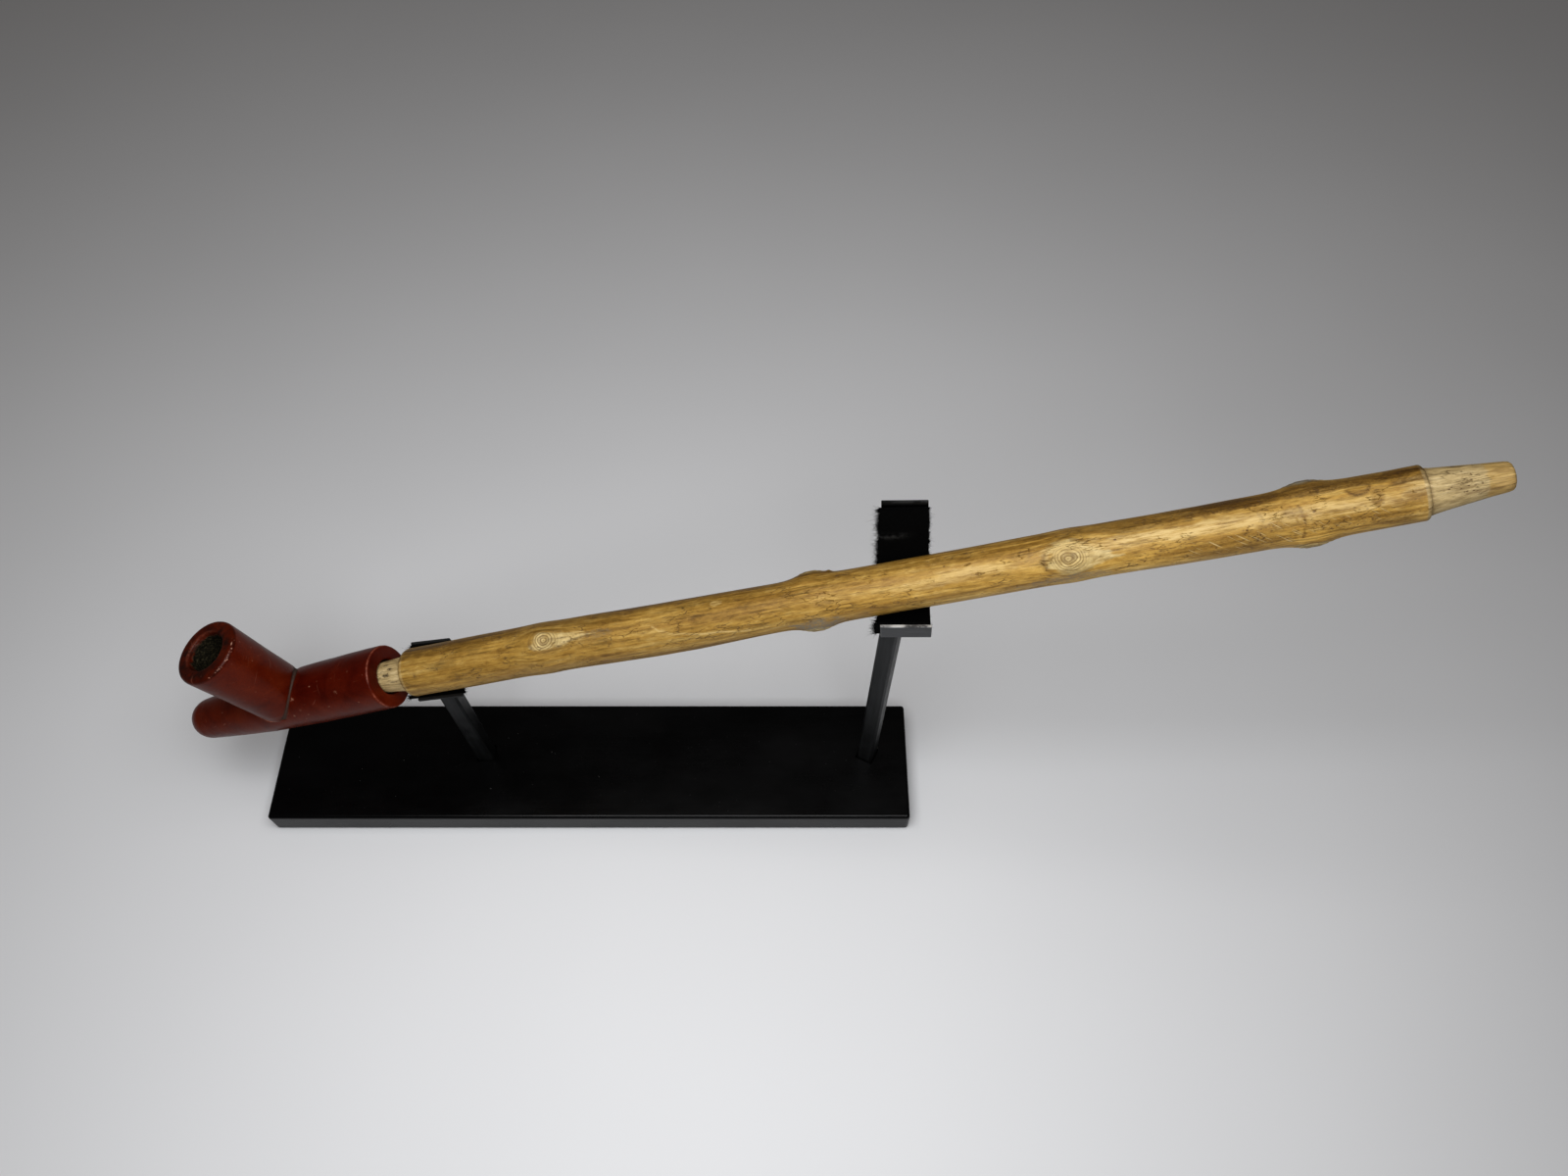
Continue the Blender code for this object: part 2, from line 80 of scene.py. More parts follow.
# Each branch scar: station, turn, length before and after its middle, half its height, lean of its tail
SCARS = (
    (91, 15, 8, 27, 5.6, 0.0), (365, 35, 12, 26, 9.0, 0.14),
    (84, 208, 9, 22, 6.0, 0.0), (365, 208, 9, 30, 7.0, 0.0),
    (237, 118, 8, 13, 5.5, 0.0), (237, -62, 8, 13, 5.5, 0.0),
    (470, 118, 8, 14, 5.5, 0.0), (470, -62, 8, 14, 5.5, 0.0),
)

# Marks on the stem: station, turn, half length, half height, strength, and the edge's softness if not 0.5
STEM_MARKS = {
    "stain": (
        (508, -16, 13, 6, 1.0), (503, 72, 15, 6, 0.75), (446, -24, 40, 6, 0.85), (462, 28, 6, 5, 0.5),
        (482, -26, 30, 5, 0.85), (452, 50, 16, 4, 0.55), (430, 66, 32, 6, 0.6), (395, -16, 36, 5, 0.55),
        (512, 40, 6, 6, 0.5), (497, 20, 3, 6, 0.55), (484, 62, 20, 3, 0.5), (505, 40, 5, 3, 0.4),
        (531, -40, 7, 2.5, 1.0), (531, 36, 6, 5, 0.35), (539, 62, 9, 2.6, 0.7), (547, 0, 4, 3, 0.35),
        (112, 35, 22, 4, 0.35), (122, -8, 18, 3, 0.3), (28, 25, 10, 4, 0.4), (45, 5, 8, 3, 0.35),
        (20, -40, 40, 4, 0.4), (232, 75, 10, 3, 0.35), (300, 75, 30, 3, 0.4), (160, -45, 60, 3, 0.4),
    ),
    "flecked": (
        (531, 37, 7, 5.5, 1.0, 0.3), (449, 52, 16, 5, 0.8), (500, 38, 18, 4, 0.5), (452, 70, 30, 4, 0.6),
        (410, 60, 30, 6, 0.5), (505, 70, 12, 4, 0.6), (120, 10, 24, 4, 0.4), (-10, 12, 4, 4, 1.0),
    ),
    "burnt": (
        (-12, 27, 2.6, 1.5, 1.0), (-9.6, 8, 2.2, 1.0, 1.0), (-12.4, -12, 2.4, 1.0, 1.0),
        (-8, 52, 3, 0.8, 1.0), (170, -9, 1.2, 0.8, 1.0), (185.5, 3, 1.1, 0.8, 1.0),
    ),
    "scratched": ((450, 66, 34, 6.5, 1.0, 0.2), (494, 58, 10, 4, 1.0, 0.2)),
    "grey": (
        (239, 92, 13, 5, 0.85), (122, 18, 12, 3, 0.25), (362, 84, 26, 3, 0.55), (471, -50, 10, 3, 0.9),
    ),
}
LONG_SCRATCH = ((152, 23), (157, 36), (164, 48), (182, 60), (204, 73))  # station and turn
COLLAR_ARCS = ((466.8, 0.9), (463.6, 0.6), (450.0, 0.45))  # station and strength, round an old branch
RING_STAIN = (490.5, -4.0)

# The bowl, as in the CAD
SHANK_SLOPE = radians(24.5)
SHANK_MOUTH = Vector((-100.80, 4.7, 129.43)) * MM
JUNCTION = Vector((-167.41, 4.7, 99.07)) * MM
CHIMNEY_LEAN = radians(23.0)
SHANK_RADII = (
    (0, 18.1), (25, 18.0), (50, 17.5), (72, 16.8), (88, 16.2), (104, 15.1), (119, 13.8), (133, 12.5),
)
CHIMNEY_RADII = ((0, 15.8), (10, 17.0), (22, 17.5), (36, 18.0), (50, 18.7), (63, 19.3))
CHIMNEY_LENGTH = 65.4
RIM_EDGE_RADIUS = 18.6
CHAMBER_RADIUS = 11.6
# Pale knocks on the shank: distance from its mouth, turn round it, and size
KNOCKS = (
    (56, 36, 1.5), (53, 62, 0.9), (50, 74, 0.7), (60, 70, 0.8), (24, 42, 1.3),
    (14, 8, 0.8), (33, 66, 0.6), (12, 70, 0.7), (42, 20, 0.5), (112, 30, 0.7),
)

# The brackets, as in the CAD
STRIP_THICK = 1.6
LIP_WIDTH = 25.4
PLATE_WIDTH = 22.0
BEND_RADIUS = 1.6
FELT_THICK = 1.2
BRACKETS = {
    "left": {
        "x": -73.3, "y": 8.4, "z": 120.2, "yaw": 5.5, "roll": 3.5, "depth": 25.0,
        "lip": 2.6, "plate": 20.0, "skew": -1.8, "felt_lip": 2.4, "felt_below": 0.6,
        "felt_front": (-17.0, 13.2), "felt_back": (-13.0, 9.6),
    },
    "right": {
        "x": 184.4, "y": 3.7, "z": 210.1, "yaw": -2.6, "roll": 4.9, "depth": 34.0,
        "lip": 11.0, "plate": 66.4, "skew": -0.4, "felt_lip": 10.2, "felt_below": 3.4,
        "felt_front": (-14.8, 11.4), "felt_back": (-12.4, 11.0),
    },
}


# The camera: metres, degrees below level, and millimetres
CAMERA_PLACE = (0.1227, -0.2969, 0.726)
CAMERA_DIP = 58.9
LENS = 27.02
SENSOR_WIDTH = 36.0


# Numbers and noise


def smoothstep(low, high, value):
    part = np.clip((value - low) / (high - low), 0.0, 1.0)
    return part * part * (3 - 2 * part)


def bell(value, width):
    """1 where the value is 0, falling away smoothly on either side."""
    return np.exp(-((value / width) ** 2))


def lattice_value(x, y, z, seed):
    """A repeatable number from -1 to 1 for each whole-number corner."""
    mixed = (x * 374761393 + y * 668265263 + z * 1440662683 + seed * 974711) & 0xFFFFFFFF
    mixed = ((mixed ^ (mixed >> 13)) * 1274126177) & 0xFFFFFFFF
    return ((mixed ^ (mixed >> 16)) & 0xFFFF) / 32767.5 - 1.0


def noise(points, size, seed):
    """Smooth noise from -1 to 1 at each point, with lumps of that size: one number or three."""
    place = points / np.asarray(size, float)
    base = np.floor(place).astype(np.int64)
    part = place - base
    part = part * part * (3 - 2 * part)
    total = np.zeros(len(points))
    for corner in itertools.product((0, 1), repeat=3):
        share = np.ones(len(points))
        for axis in range(3):
            share *= part[:, axis] if corner[axis] else 1 - part[:, axis]
        total += share * lattice_value(*(base[:, axis] + corner[axis] for axis in range(3)), seed)
    return total


def layered(points, size, seed, layers=3):
    """Noise with finer noise on it, each layer half the size and half the height."""
    size = np.asarray(size, float)
    return sum(noise(points, size / 2**i, seed + i) / 2**i for i in range(layers))


def interpolate(stations, where):
    """Values read smoothly between (position, value) pairs."""
    places = np.array([place for place, _ in stations], float)
    values = np.array([value for _, value in stations], float)
    index = np.clip(np.searchsorted(places, where, side="left") - 1, 0, len(places) - 2)
    part = np.clip((where - places[index]) / (places[index + 1] - places[index]), 0.0, 1.0)
    return values[index] + (values[index + 1] - values[index]) * (1 - np.cos(np.pi * part)) / 2


# Meshes


def new_object(name, data):
    obj = bpy.data.objects.new(name, data)
    bpy.context.scene.collection.objects.link(obj)
    return obj


def coat(obj, finish):
    obj.data.materials.clear()
    obj.data.materials.append(finish)


def weld(obj):
    """Joins the points that lie together where CAD faces meet."""
    obj.modifiers.new("weld", "WELD").merge_threshold = 0.01 * MM


def add_piece(name, mesh, body, finish, replaces=(), matrix=None):
    """A piece that rides on a CAD body, and stands for the CAD nodes named."""
    if matrix is not None:
        mesh.transform(matrix)
    obj = new_object(name, mesh)
    coat(obj, finish)
    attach(obj, body)
    if replaces:
        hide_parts(*replaces)
    return obj


def mesh_of(name, points, faces, outward=True):
    """A smooth-shaded mesh; points are in millimetres."""
    mesh = bpy.data.meshes.new(name)
    mesh.from_pydata((np.asarray(points) * MM).tolist(), [], faces)
    if outward:
        bm = bmesh.new()
        bm.from_mesh(mesh)
        bmesh.ops.recalc_face_normals(bm, faces=bm.faces)
        bm.to_mesh(mesh)
        bm.free()
    mesh.shade_smooth()
    return mesh


def set_attributes(mesh, **attributes):
    """Stores one number or one vector of each attribute for each point of the mesh."""
    for name, values in attributes.items():
        values = np.asarray(values, np.float32)
        kind, field = ("FLOAT", "value") if values.ndim == 1 else ("FLOAT_VECTOR", "vector")
        mesh.attributes.new(name, kind, "POINT").data.foreach_set(field, values.ravel())


def read_points(mesh, key="co"):
    """Every point of a mesh, or with the key "normal" the way it faces."""
    values = np.zeros(len(mesh.vertices) * 3)
    mesh.vertices.foreach_get(key, values)
    return values.reshape(-1, 3)


def write_points(mesh, points):
    mesh.vertices.foreach_set("co", points.ravel())
    mesh.update()


def grid_faces(rows, columns, closed_rows=False, closed_columns=False):
    """Quads between neighbouring points of a grid."""
    faces = []
    for row in range(rows if closed_rows else rows - 1):
        for column in range(columns if closed_columns else columns - 1):
            after, beside = (row + 1) % rows, (column + 1) % columns
            faces.append((
                row * columns + column, row * columns + beside,
                after * columns + beside, after * columns + column,
            ))
    return faces


# Materials


class Finish:
    """One node material, built up in short calls. Every call returns an output socket."""

    def __init__(self, name):
        self.material = bpy.data.materials.new(name)
        self.material.use_nodes = True
        self.tree = self.material.node_tree
        self.shader = self.tree.nodes["Principled BSDF"]

    def set(self, **values):
        """Sets sockets of the shader itself; a socket's name is written with underscores."""
        for key, value in values.items():
            self.feed(self.shader.inputs[key.replace("_", " ")], value)

    def feed(self, socket, value):
        if isinstance(value, bpy.types.NodeSocket):
            self.tree.links.new(value, socket)
        elif isinstance(value, tuple) and len(value) == 3 and len(socket.default_value) == 4:
            socket.default_value = (*value, 1.0)
        else:
            socket.default_value = value

    def node(self, kind, inputs, **settings):
        made = self.tree.nodes.new(kind)
        for key, value in settings.items():
            setattr(made, key, value)
        for key, value in inputs.items():
            self.feed(made.inputs[key], value)
        return made

    def attribute(self, name):
        return self.node("ShaderNodeAttribute", {}, attribute_name=name).outputs["Fac"]

    def place(self, scale, attribute=None, turn=(0.0, 0.0, 0.0)):
        """A vector to texture by, from the object's own coordinates or from an attribute."""
        if isinstance(scale, float):
            scale = (scale, scale, scale)
        if attribute:
            source = self.node("ShaderNodeAttribute", {}, attribute_name=attribute).outputs["Vector"]
        else:
            source = self.node("ShaderNodeTexCoord", {}).outputs["Object"]
        if any(turn):  # a TEXTURE mapping turns first and stretches after, by one over its scale
            angles = tuple(radians(angle) for angle in turn)
            scale = tuple(1 / part if part else 1e6 for part in scale)
            inputs = {"Vector": source, "Rotation": angles, "Scale": scale}
            return self.node("ShaderNodeMapping", inputs, vector_type="TEXTURE").outputs["Vector"]
        return self.node("ShaderNodeMapping", {"Vector": source, "Scale": scale}).outputs["Vector"]

    def noise(self, vector, detail=4.0, roughness=0.6, distortion=0.0):
        inputs = {"Vector": vector, "Scale": 1.0, "Detail": detail, "Roughness": roughness}
        inputs["Distortion"] = distortion
        return self.node("ShaderNodeTexNoise", inputs).outputs["Fac"]

    def cells(self, vector, feature="F1"):
        inputs = {"Vector": vector, "Scale": 1.0}
        return self.node("ShaderNodeTexVoronoi", inputs, feature=feature).outputs["Distance"]

    def rings(self, vector, distortion):
        inputs = {"Vector": vector, "Scale": 1.0, "Distortion": distortion, "Detail": 3.0}
        settings = {"wave_type": "RINGS", "rings_direction": "SPHERICAL"}
        return self.node("ShaderNodeTexWave", inputs, **settings).outputs["Fac"]

    def patches(self, vector, low, high, **settings):
        """Noise cut into patches: 0 below low and 1 above high."""
        return self.ramp(self.noise(vector, **settings), (low, 0.0), (high, 1.0))

    def spots(self, vector, near, far):
        """A spot in the middle of each cell: 1 nearer than near and 0 beyond far."""
        return self.ramp(self.cells(vector), (near, 1.0), (far, 0.0))

    def ramp(self, value, *stops):
        """A colour or grey read off (position, colour) stops."""
        made = self.node("ShaderNodeValToRGB", {"Fac": value})
        elements = made.color_ramp.elements
        while len(elements) < len(stops):
            elements.new(0.5)
        for element, (position, colour) in zip(elements, stops):
            element.position = position
            element.color = (*colour, 1.0) if isinstance(colour, tuple) else (colour, colour, colour, 1.0)
        return made.outputs["Color"]

    def mix(self, share, first, second, mode="MIX"):
        made = self.node("ShaderNodeMix", {}, data_type="RGBA", blend_type=mode)
        for index, value in ((0, share), (6, first), (7, second)):
            self.feed(made.inputs[index], value)
        return made.outputs[2]

    def multiply(self, colour, factor, share=1.0):
        return self.mix(share, colour, factor, "MULTIPLY")

    def math(self, operation, first, second, clamp=False):
        made = self.node("ShaderNodeMath", {}, operation=operation, use_clamp=clamp)
        self.feed(made.inputs[0], first)
        self.feed(made.inputs[1], second)
        return made.outputs[0]

    def times(self, first, second):
        return self.math("MULTIPLY", first, second)

    def plus(self, first, second):
        return self.math("ADD", first, second)

    def minus(self, first, second):
        return self.math("SUBTRACT", first, second)

    def bump(self, height, distance):
        """Distance is how far, in millimetres, a height of 1 stands out."""
        return self.node("ShaderNodeBump", {"Height": height, "Distance": distance * MM}).outputs["Normal"]


def wood_finish():
    """Peeled and handled wood: long fibres that part round the knots, stains, dots and scratches."""
    f = Finish("handled_wood")

    def grain(along, across):
        """A vector that runs with the fibres: its scale along them and across them."""
        return f.place((along, across, across), "grain")

    fibres = f.noise(grain(0.07, 0.85), detail=6.0, roughness=0.72)
    streaks = f.noise(grain(0.014, 0.42), distortion=0.3)
    blotches = f.noise(grain(0.022, 0.10), detail=6.0, roughness=0.68)
    mottle = f.noise(grain(0.16, 0.42), detail=5.0, roughness=0.7, distortion=0.5)
    tone = f.plus(f.plus(f.times(streaks, 0.35), f.times(blotches, 0.35)), f.times(mottle, 0.30))
    colour = f.ramp(
        tone,
        (0.37, (0.165, 0.086, 0.016)),
        (0.46, (0.300, 0.172, 0.036)),
        (0.53, (0.385, 0.235, 0.056)),
        (0.62, (0.500, 0.335, 0.110)),
    )
    shade = f.ramp(fibres, (0.32, 0.50), (0.47, 0.94), (0.66, 1.18))
    colour = f.multiply(colour, shade)
    # paler where the stick is handled, and lighter on its lower side as painted light from the floor below
    colour = f.mix(f.attribute("handled_and_underside_light"), colour, f.multiply(colour, (1.46, 1.50, 1.64)))
    dashes = f.patches(grain(0.20, 1.15), 0.62, 0.70, detail=2.0)
    colour = f.mix(f.times(dashes, 0.42), colour, (0.13, 0.066, 0.016))

    # the paler growth round each branch scar, with its whorls and its dark outline
    scar = f.attribute("scar")
    whorls = f.rings(f.place((0.20, 0.27, 0.0), "scar_place"), 2.5)
    lines = f.times(f.ramp(whorls, (0.05, 1.0), (0.42, 0.0)), f.attribute("whorl_fade"))
    growth = f.ramp(mottle, (0.38, (0.400, 0.280, 0.108)), (0.60, (0.640, 0.500, 0.245)))
    growth = f.multiply(growth, shade, 0.85)
    growth = f.mix(f.times(lines, 0.66), growth, (0.155, 0.090, 0.030))
    colour = f.mix(scar, colour, growth)
    outline = f.times(f.attribute("outline"), f.ramp(mottle, (0.38, 0.25), (0.55, 1.0)))
    colour = f.mix(f.times(outline, 0.75), colour, (0.115, 0.062, 0.020))

    # long pale rubbed streaks
    pale = f.times(f.attribute("pale"), f.ramp(fibres, (0.42, 0.10), (0.56, 1.0)))
    colour = f.mix(pale, colour, (0.60, 0.435, 0.185))

    # bare, freshly cut wood at the tenon, the mouthpiece and the end faces
    bare = f.attribute("bare")
    cut = f.ramp(
        f.noise(grain(0.12, 0.45), detail=6.0, roughness=0.7),
        (0.36, (0.330, 0.240, 0.115)),
        (0.50, (0.490, 0.370, 0.185)),
        (0.64, (0.600, 0.470, 0.260)),
    )
    colour = f.mix(bare, colour, f.multiply(cut, shade, 0.8))

    # the darker band along the back of the stick and its broken-up edge: partly grease, partly painted
    # shade on the side turned away from the light
    band = f.times(f.attribute("band"), f.ramp(tone, (0.40, 1.0), (0.58, 0.45)))
    colour = f.mix(band, colour, f.multiply(colour, (0.46, 0.41, 0.27)))

    # brown stains, dark flecks, burns, grey stains, and dirt in the cracks
    broken = f.patches(grain(0.60, 1.20), 0.44, 0.55, detail=6.0, roughness=0.7)
    patchy = f.ramp(mottle, (0.40, 0.25), (0.54, 1.0))
    brown = f.plus(f.plus(0.16, f.times(patchy, 0.54)), f.times(broken, 0.30))
    colour = f.mix(f.times(f.attribute("stain"), brown), colour, f.multiply(colour, (0.26, 0.21, 0.18)))
    flecks = f.times(f.attribute("flecked"), f.times(f.spots(grain(0.42, 0.62), 0.18, 0.30), 0.8))
    colour = f.mix(flecks, colour, (0.085, 0.042, 0.020))
    burn = f.times(f.attribute("burnt"), f.plus(0.35, f.times(broken, 0.6)))
    colour = f.mix(burn, colour, (0.022, 0.014, 0.008))
    grey = f.times(f.attribute("grey"), f.plus(0.3, f.times(broken, 0.7)))
    colour = f.mix(grey, colour, (0.17, 0.16, 0.135))

    cracks = f.cells(f.place((0.14, 0.62, 0.0), "flat"), feature="DISTANCE_TO_EDGE")
    crack_zone = f.patches(f.place((0.05, 0.11, 0.0), "flat"), 0.52, 0.58, detail=3.0)
    crack = f.times(f.ramp(cracks, (0.0, 1.0), (0.07, 0.0)), f.times(crack_zone, broken))
    colour = f.mix(f.times(crack, 0.70), colour, (0.12, 0.060, 0.018))

    dots = f.spots(grain(0.085, 0.13), 0.04, 0.08)
    colour = f.mix(f.times(dots, 0.8), colour, (0.08, 0.035, 0.014))

    # thin pale scratches across the grain, where the stick has been handled most
    scratches = f.patches(f.place((0.07, 1.3, 1.0), "flat", (0.0, 0.0, 40.0)), 0.63, 0.67, detail=1.0)
    scratches = f.times(scratches, f.attribute("scratched"))
    colour = f.mix(f.times(scratches, 0.65), colour, (0.66, 0.50, 0.25))

    worn = f.plus(0.40, f.times(f.ramp(blotches, (0.38, 0.0), (0.62, 1.0)), 0.16))
    roughness = f.plus(f.plus(worn, f.times(bare, 0.22)), f.times(scar, 0.12))
    height = f.plus(f.times(fibres, 0.6), f.times(mottle, 0.5))
    height = f.minus(height, f.times(f.times(lines, scar), 0.5))
    height = f.minus(height, f.plus(f.times(crack, 0.9), f.times(scratches, 0.4)))
    f.set(Base_Color=colour, Roughness=roughness, Normal=f.bump(height, 0.30), Specular_IOR_Level=0.30)
    return f.material


def stone_finish():
    """Red pipestone rubbed to a satin: mottled, with soot, dust in the creases, chips and scratches;
    painted shade on the shank's top and in the socket, and a painted highlight on the rim's inner edge.
    """
    f = Finish("red_pipestone")
    mottle = f.noise(f.place(70.0), detail=6.0, distortion=0.4)
    fine = f.noise(f.place(900.0), roughness=0.7)
    colour = f.ramp(
        mottle,
        (0.34, (0.078, 0.0076, 0.0011)),
        (0.48, (0.102, 0.0110, 0.0015)),
        (0.60, (0.116, 0.0140, 0.0022)),
        (0.72, (0.132, 0.0190, 0.0042)),
    )
    colour = f.multiply(colour, f.ramp(fine, (0.3, 0.82), (0.6, 1.08)))
    # painted shade: the top of the shank is darkened
    colour = f.mix(f.attribute("deep"), colour, f.multiply(colour, (0.66, 0.46, 0.36)))
    # soot on the rim, and painted shade inside the socket
    blot = f.ramp(f.noise(f.place(240.0), detail=5.0), (0.34, 0.35), (0.62, 1.0))
    colour = f.mix(f.times(f.attribute("soot"), blot), colour, (0.0170, 0.0042, 0.0022))

    # pale specks, scratches and knocks from handling
    specks = f.times(f.spots(f.place(210.0), 0.07, 0.12), f.patches(f.place(60.0), 0.50, 0.62, detail=2.0))
    colour = f.mix(f.times(specks, 0.35), colour, (0.34, 0.15, 0.10))
    scratches = 0.0
    for turn, scale in (
        ((15, 40, 20), (1500, 55, 90)), ((-50, 10, 75), (60, 1400, 70)), ((70, -30, 5), (80, 60, 1500)),
    ):
        scratches = f.plus(f.patches(f.place(scale, turn=turn), 0.745, 0.775, detail=1.0), scratches)
    colour = f.mix(f.times(scratches, 0.30), colour, (0.30, 0.12, 0.08))
    marks = f.times(f.attribute("marks"), f.ramp(fine, (0.42, 0.1), (0.52, 1.0)))
    colour = f.mix(f.times(marks, 0.75), colour, (0.36, 0.19, 0.13))

    # pale wear at the crease and round the shank's mouth, and a painted highlight on the rim's inner edge
    wear = f.times(f.attribute("wear"), f.ramp(fine, (0.40, 0.25), (0.55, 1.0)))
    colour = f.mix(wear, colour, (0.36, 0.125, 0.080))
    dust = f.times(f.attribute("dust"), f.ramp(fine, (0.30, 0.45), (0.60, 1.0)))
    colour = f.mix(dust, colour, (0.060, 0.047, 0.038))
    chip = f.attribute("chip")
    colour = f.mix(chip, colour, f.ramp(fine, (0.42, (0.18, 0.055, 0.035)), (0.60, (0.50, 0.30, 0.22))))

    # burnt crumbs that line the chamber
    cake = f.attribute("cake")
    crumbs = f.ramp(
        fine,
        (0.34, (0.003, 0.0025, 0.0015)),
        (0.50, (0.011, 0.009, 0.004)),
        (0.62, (0.036, 0.030, 0.015)),
        (0.74, (0.10, 0.085, 0.05)),
    )
    colour = f.mix(cake, colour, crumbs)

    dull = f.plus(f.times(cake, 0.5), f.plus(f.times(dust, 0.35), f.times(chip, 0.3)))
    satin = f.plus(0.30, f.times(f.ramp(mottle, (0.35, 0.0), (0.7, 1.0)), 0.12))
    height = f.plus(f.times(fine, 0.25), f.times(f.times(fine, cake), 3.0))
    height = f.minus(height, f.times(scratches, 0.35))
    f.set(
        Base_Color=colour,
        Roughness=f.math("ADD", satin, dull, clamp=True),
        Normal=f.bump(height, 0.10),
        Specular_IOR_Level=0.15,
    )
    return f.material


def paint_finish():
    """Black satin paint over wood, with the grain just showing, and dust settled on it."""
    f = Finish("black_satin_paint")
    grain = f.noise(f.place((18.0, 900.0, 500.0)), detail=5.0, roughness=0.7)
    ripple = f.noise(f.place((55.0, 220.0, 220.0)), detail=3.0)
    clouds = f.noise(f.place((14.0, 26.0, 26.0)), detail=5.0)
    colour = f.ramp(clouds, (0.35, (0.0008, 0.0008, 0.0009)), (0.70, (0.0026, 0.0026, 0.0029)))
    specks = f.times(f.spots(f.place(260.0), 0.05, 0.085), f.patches(f.place(30.0), 0.52, 0.66, detail=3.0))
    colour = f.mix(f.times(specks, 0.35), colour, (0.06, 0.06, 0.06))
    roughness = f.plus(0.20, f.times(f.ramp(clouds, (0.3, 0.0), (0.7, 1.0)), 0.14))
    height = f.plus(f.times(grain, 0.5), f.times(ripple, 0.5))
    f.set(Base_Color=colour, Roughness=roughness, Normal=f.bump(height, 0.08), Specular_IOR_Level=0.17)
    return f.material


def steel_finish(name, dark, light, metallic, roughness, along=(300.0, 300.0, 22.0), worn=None):
    """Hot-rolled steel: streaked scale that lets lighter metal through where it is rubbed."""
    f = Finish(name)
    streaks = f.noise(f.place(along), detail=5.0, roughness=0.65)
    scale = f.noise(f.place(130.0), detail=6.0, roughness=0.7)
    tone = f.plus(f.times(streaks, 0.55), f.times(scale, 0.45))
    colour = f.ramp(tone, (0.34, dark), (0.68, light))
    rough = f.plus(roughness, f.times(f.ramp(scale, (0.35, 0.0), (0.7, 1.0)), 0.16))
    if worn:
        # the back plate is painted near black
        colour = f.mix(f.attribute("covered"), colour, (0.004, 0.004, 0.004))
        rubbed = f.times(f.attribute("worn"), f.ramp(scale, (0.42, 0.15), (0.52, 1.0)))
        colour = f.mix(rubbed, colour, worn)
    f.set(Base_Color=colour, Roughness=rough, Normal=f.bump(tone, 0.12), Metallic=metallic)
    return f.material


def felt_finish():
    """Black felt: matted fibres, a little sheen, and grey lint."""
    f = Finish("black_felt_nap")
    mat = f.noise(f.place(1100.0), detail=5.0, roughness=0.8, distortion=1.2)
    tufts = f.noise(f.place(260.0))
    colour = f.ramp(mat, (0.35, (0.0006, 0.0006, 0.0007)), (0.72, (0.0034, 0.0034, 0.0037)))
    lint_zone = f.patches(f.place(45.0), 0.56, 0.66, detail=3.0)
    lint = f.times(f.spots(f.place((150.0, 260.0, 190.0)), 0.045, 0.085), lint_zone)
    colour = f.mix(f.times(lint, 0.45), colour, (0.07, 0.07, 0.07))
    # a faint grey streak painted across the right felt's back
    smudge = f.times(f.attribute("smudge"), f.ramp(tufts, (0.40, 0.0), (0.60, 1.0)))
    colour = f.mix(f.times(smudge, 0.8), colour, (0.045, 0.045, 0.045))
    height = f.plus(f.times(mat, 0.6), f.times(tufts, 0.8))
    f.set(Base_Color=colour, Roughness=0.97, Normal=f.bump(height, 0.45), Specular_IOR_Level=0.04)
    f.set(Sheen_Weight=0.012, Sheen_Roughness=0.5)
    return f.material


def lint_finish():
    f = Finish("grey_lint")
    tone = f.noise(f.place(800.0), detail=3.0)
    f.set(Base_Color=f.ramp(tone, (0.35, (0.11, 0.105, 0.10)), (0.65, (0.32, 0.31, 0.29))), Roughness=0.9)
    return f.material


# The stem


def stem_profile():
    """Dense (station, radius, part) points from the tenon's hidden end to the mouthpiece's tip."""
    points = [(station, radius, "tenon") for station, radius in TENON_RADII]
    first = BODY_DIAMETERS[0][1] / 2 - SHOULDER_ROUND
    for turn in np.linspace(0, np.pi / 2, 9):
        station = BODY_START + SHOULDER_ROUND * (1 - math.cos(turn))
        points.append((station, first + SHOULDER_ROUND * math.sin(turn), "shoulder"))
    body_end = BODY_LENGTH - FAR_END_ROUND
    for station in np.arange(BODY_START + SHOULDER_ROUND + 0.8, body_end, 0.8):
        points.append((station, float(interpolate(BODY_DIAMETERS, np.array([station]))[0]) / 2, "body"))
    last = BODY_DIAMETERS[-1][1] / 2 - FAR_END_ROUND
    for turn in np.linspace(np.pi / 2, 0, 7):
        station = body_end + FAR_END_ROUND * math.cos(turn)
        points.append((station, last + FAR_END_ROUND * math.sin(turn), "end"))
    points += [(BODY_LENGTH + distance, radius, "mouthpiece") for distance, radius in MOUTHPIECE_RADII]
    dense = [(TENON_RADII[0][0], SMOKE_RADIUS, "bore"), points[0]]
    for (s0, r0, _), (s1, r1, part) in zip(points, points[1:]):
        steps = max(1, round(math.hypot(s1 - s0, r1 - r0) / 0.8)) if part in ("tenon", "mouthpiece") else 1
        for step in range(1, steps + 1):
            dense.append((s0 + (s1 - s0) * step / steps, r0 + (r1 - r0) * step / steps, part))
    dense.append((STEM_LENGTH, SMOKE_RADIUS, "bore"))
    return dense


def wrapped(angle):
    return (angle + np.pi) % (2 * np.pi) - np.pi


def round_stem(turn, facing):
    """Millimetres round the stem's surface from a direction in degrees."""
    return wrapped(turn - radians(facing)) * STEM_RADIUS


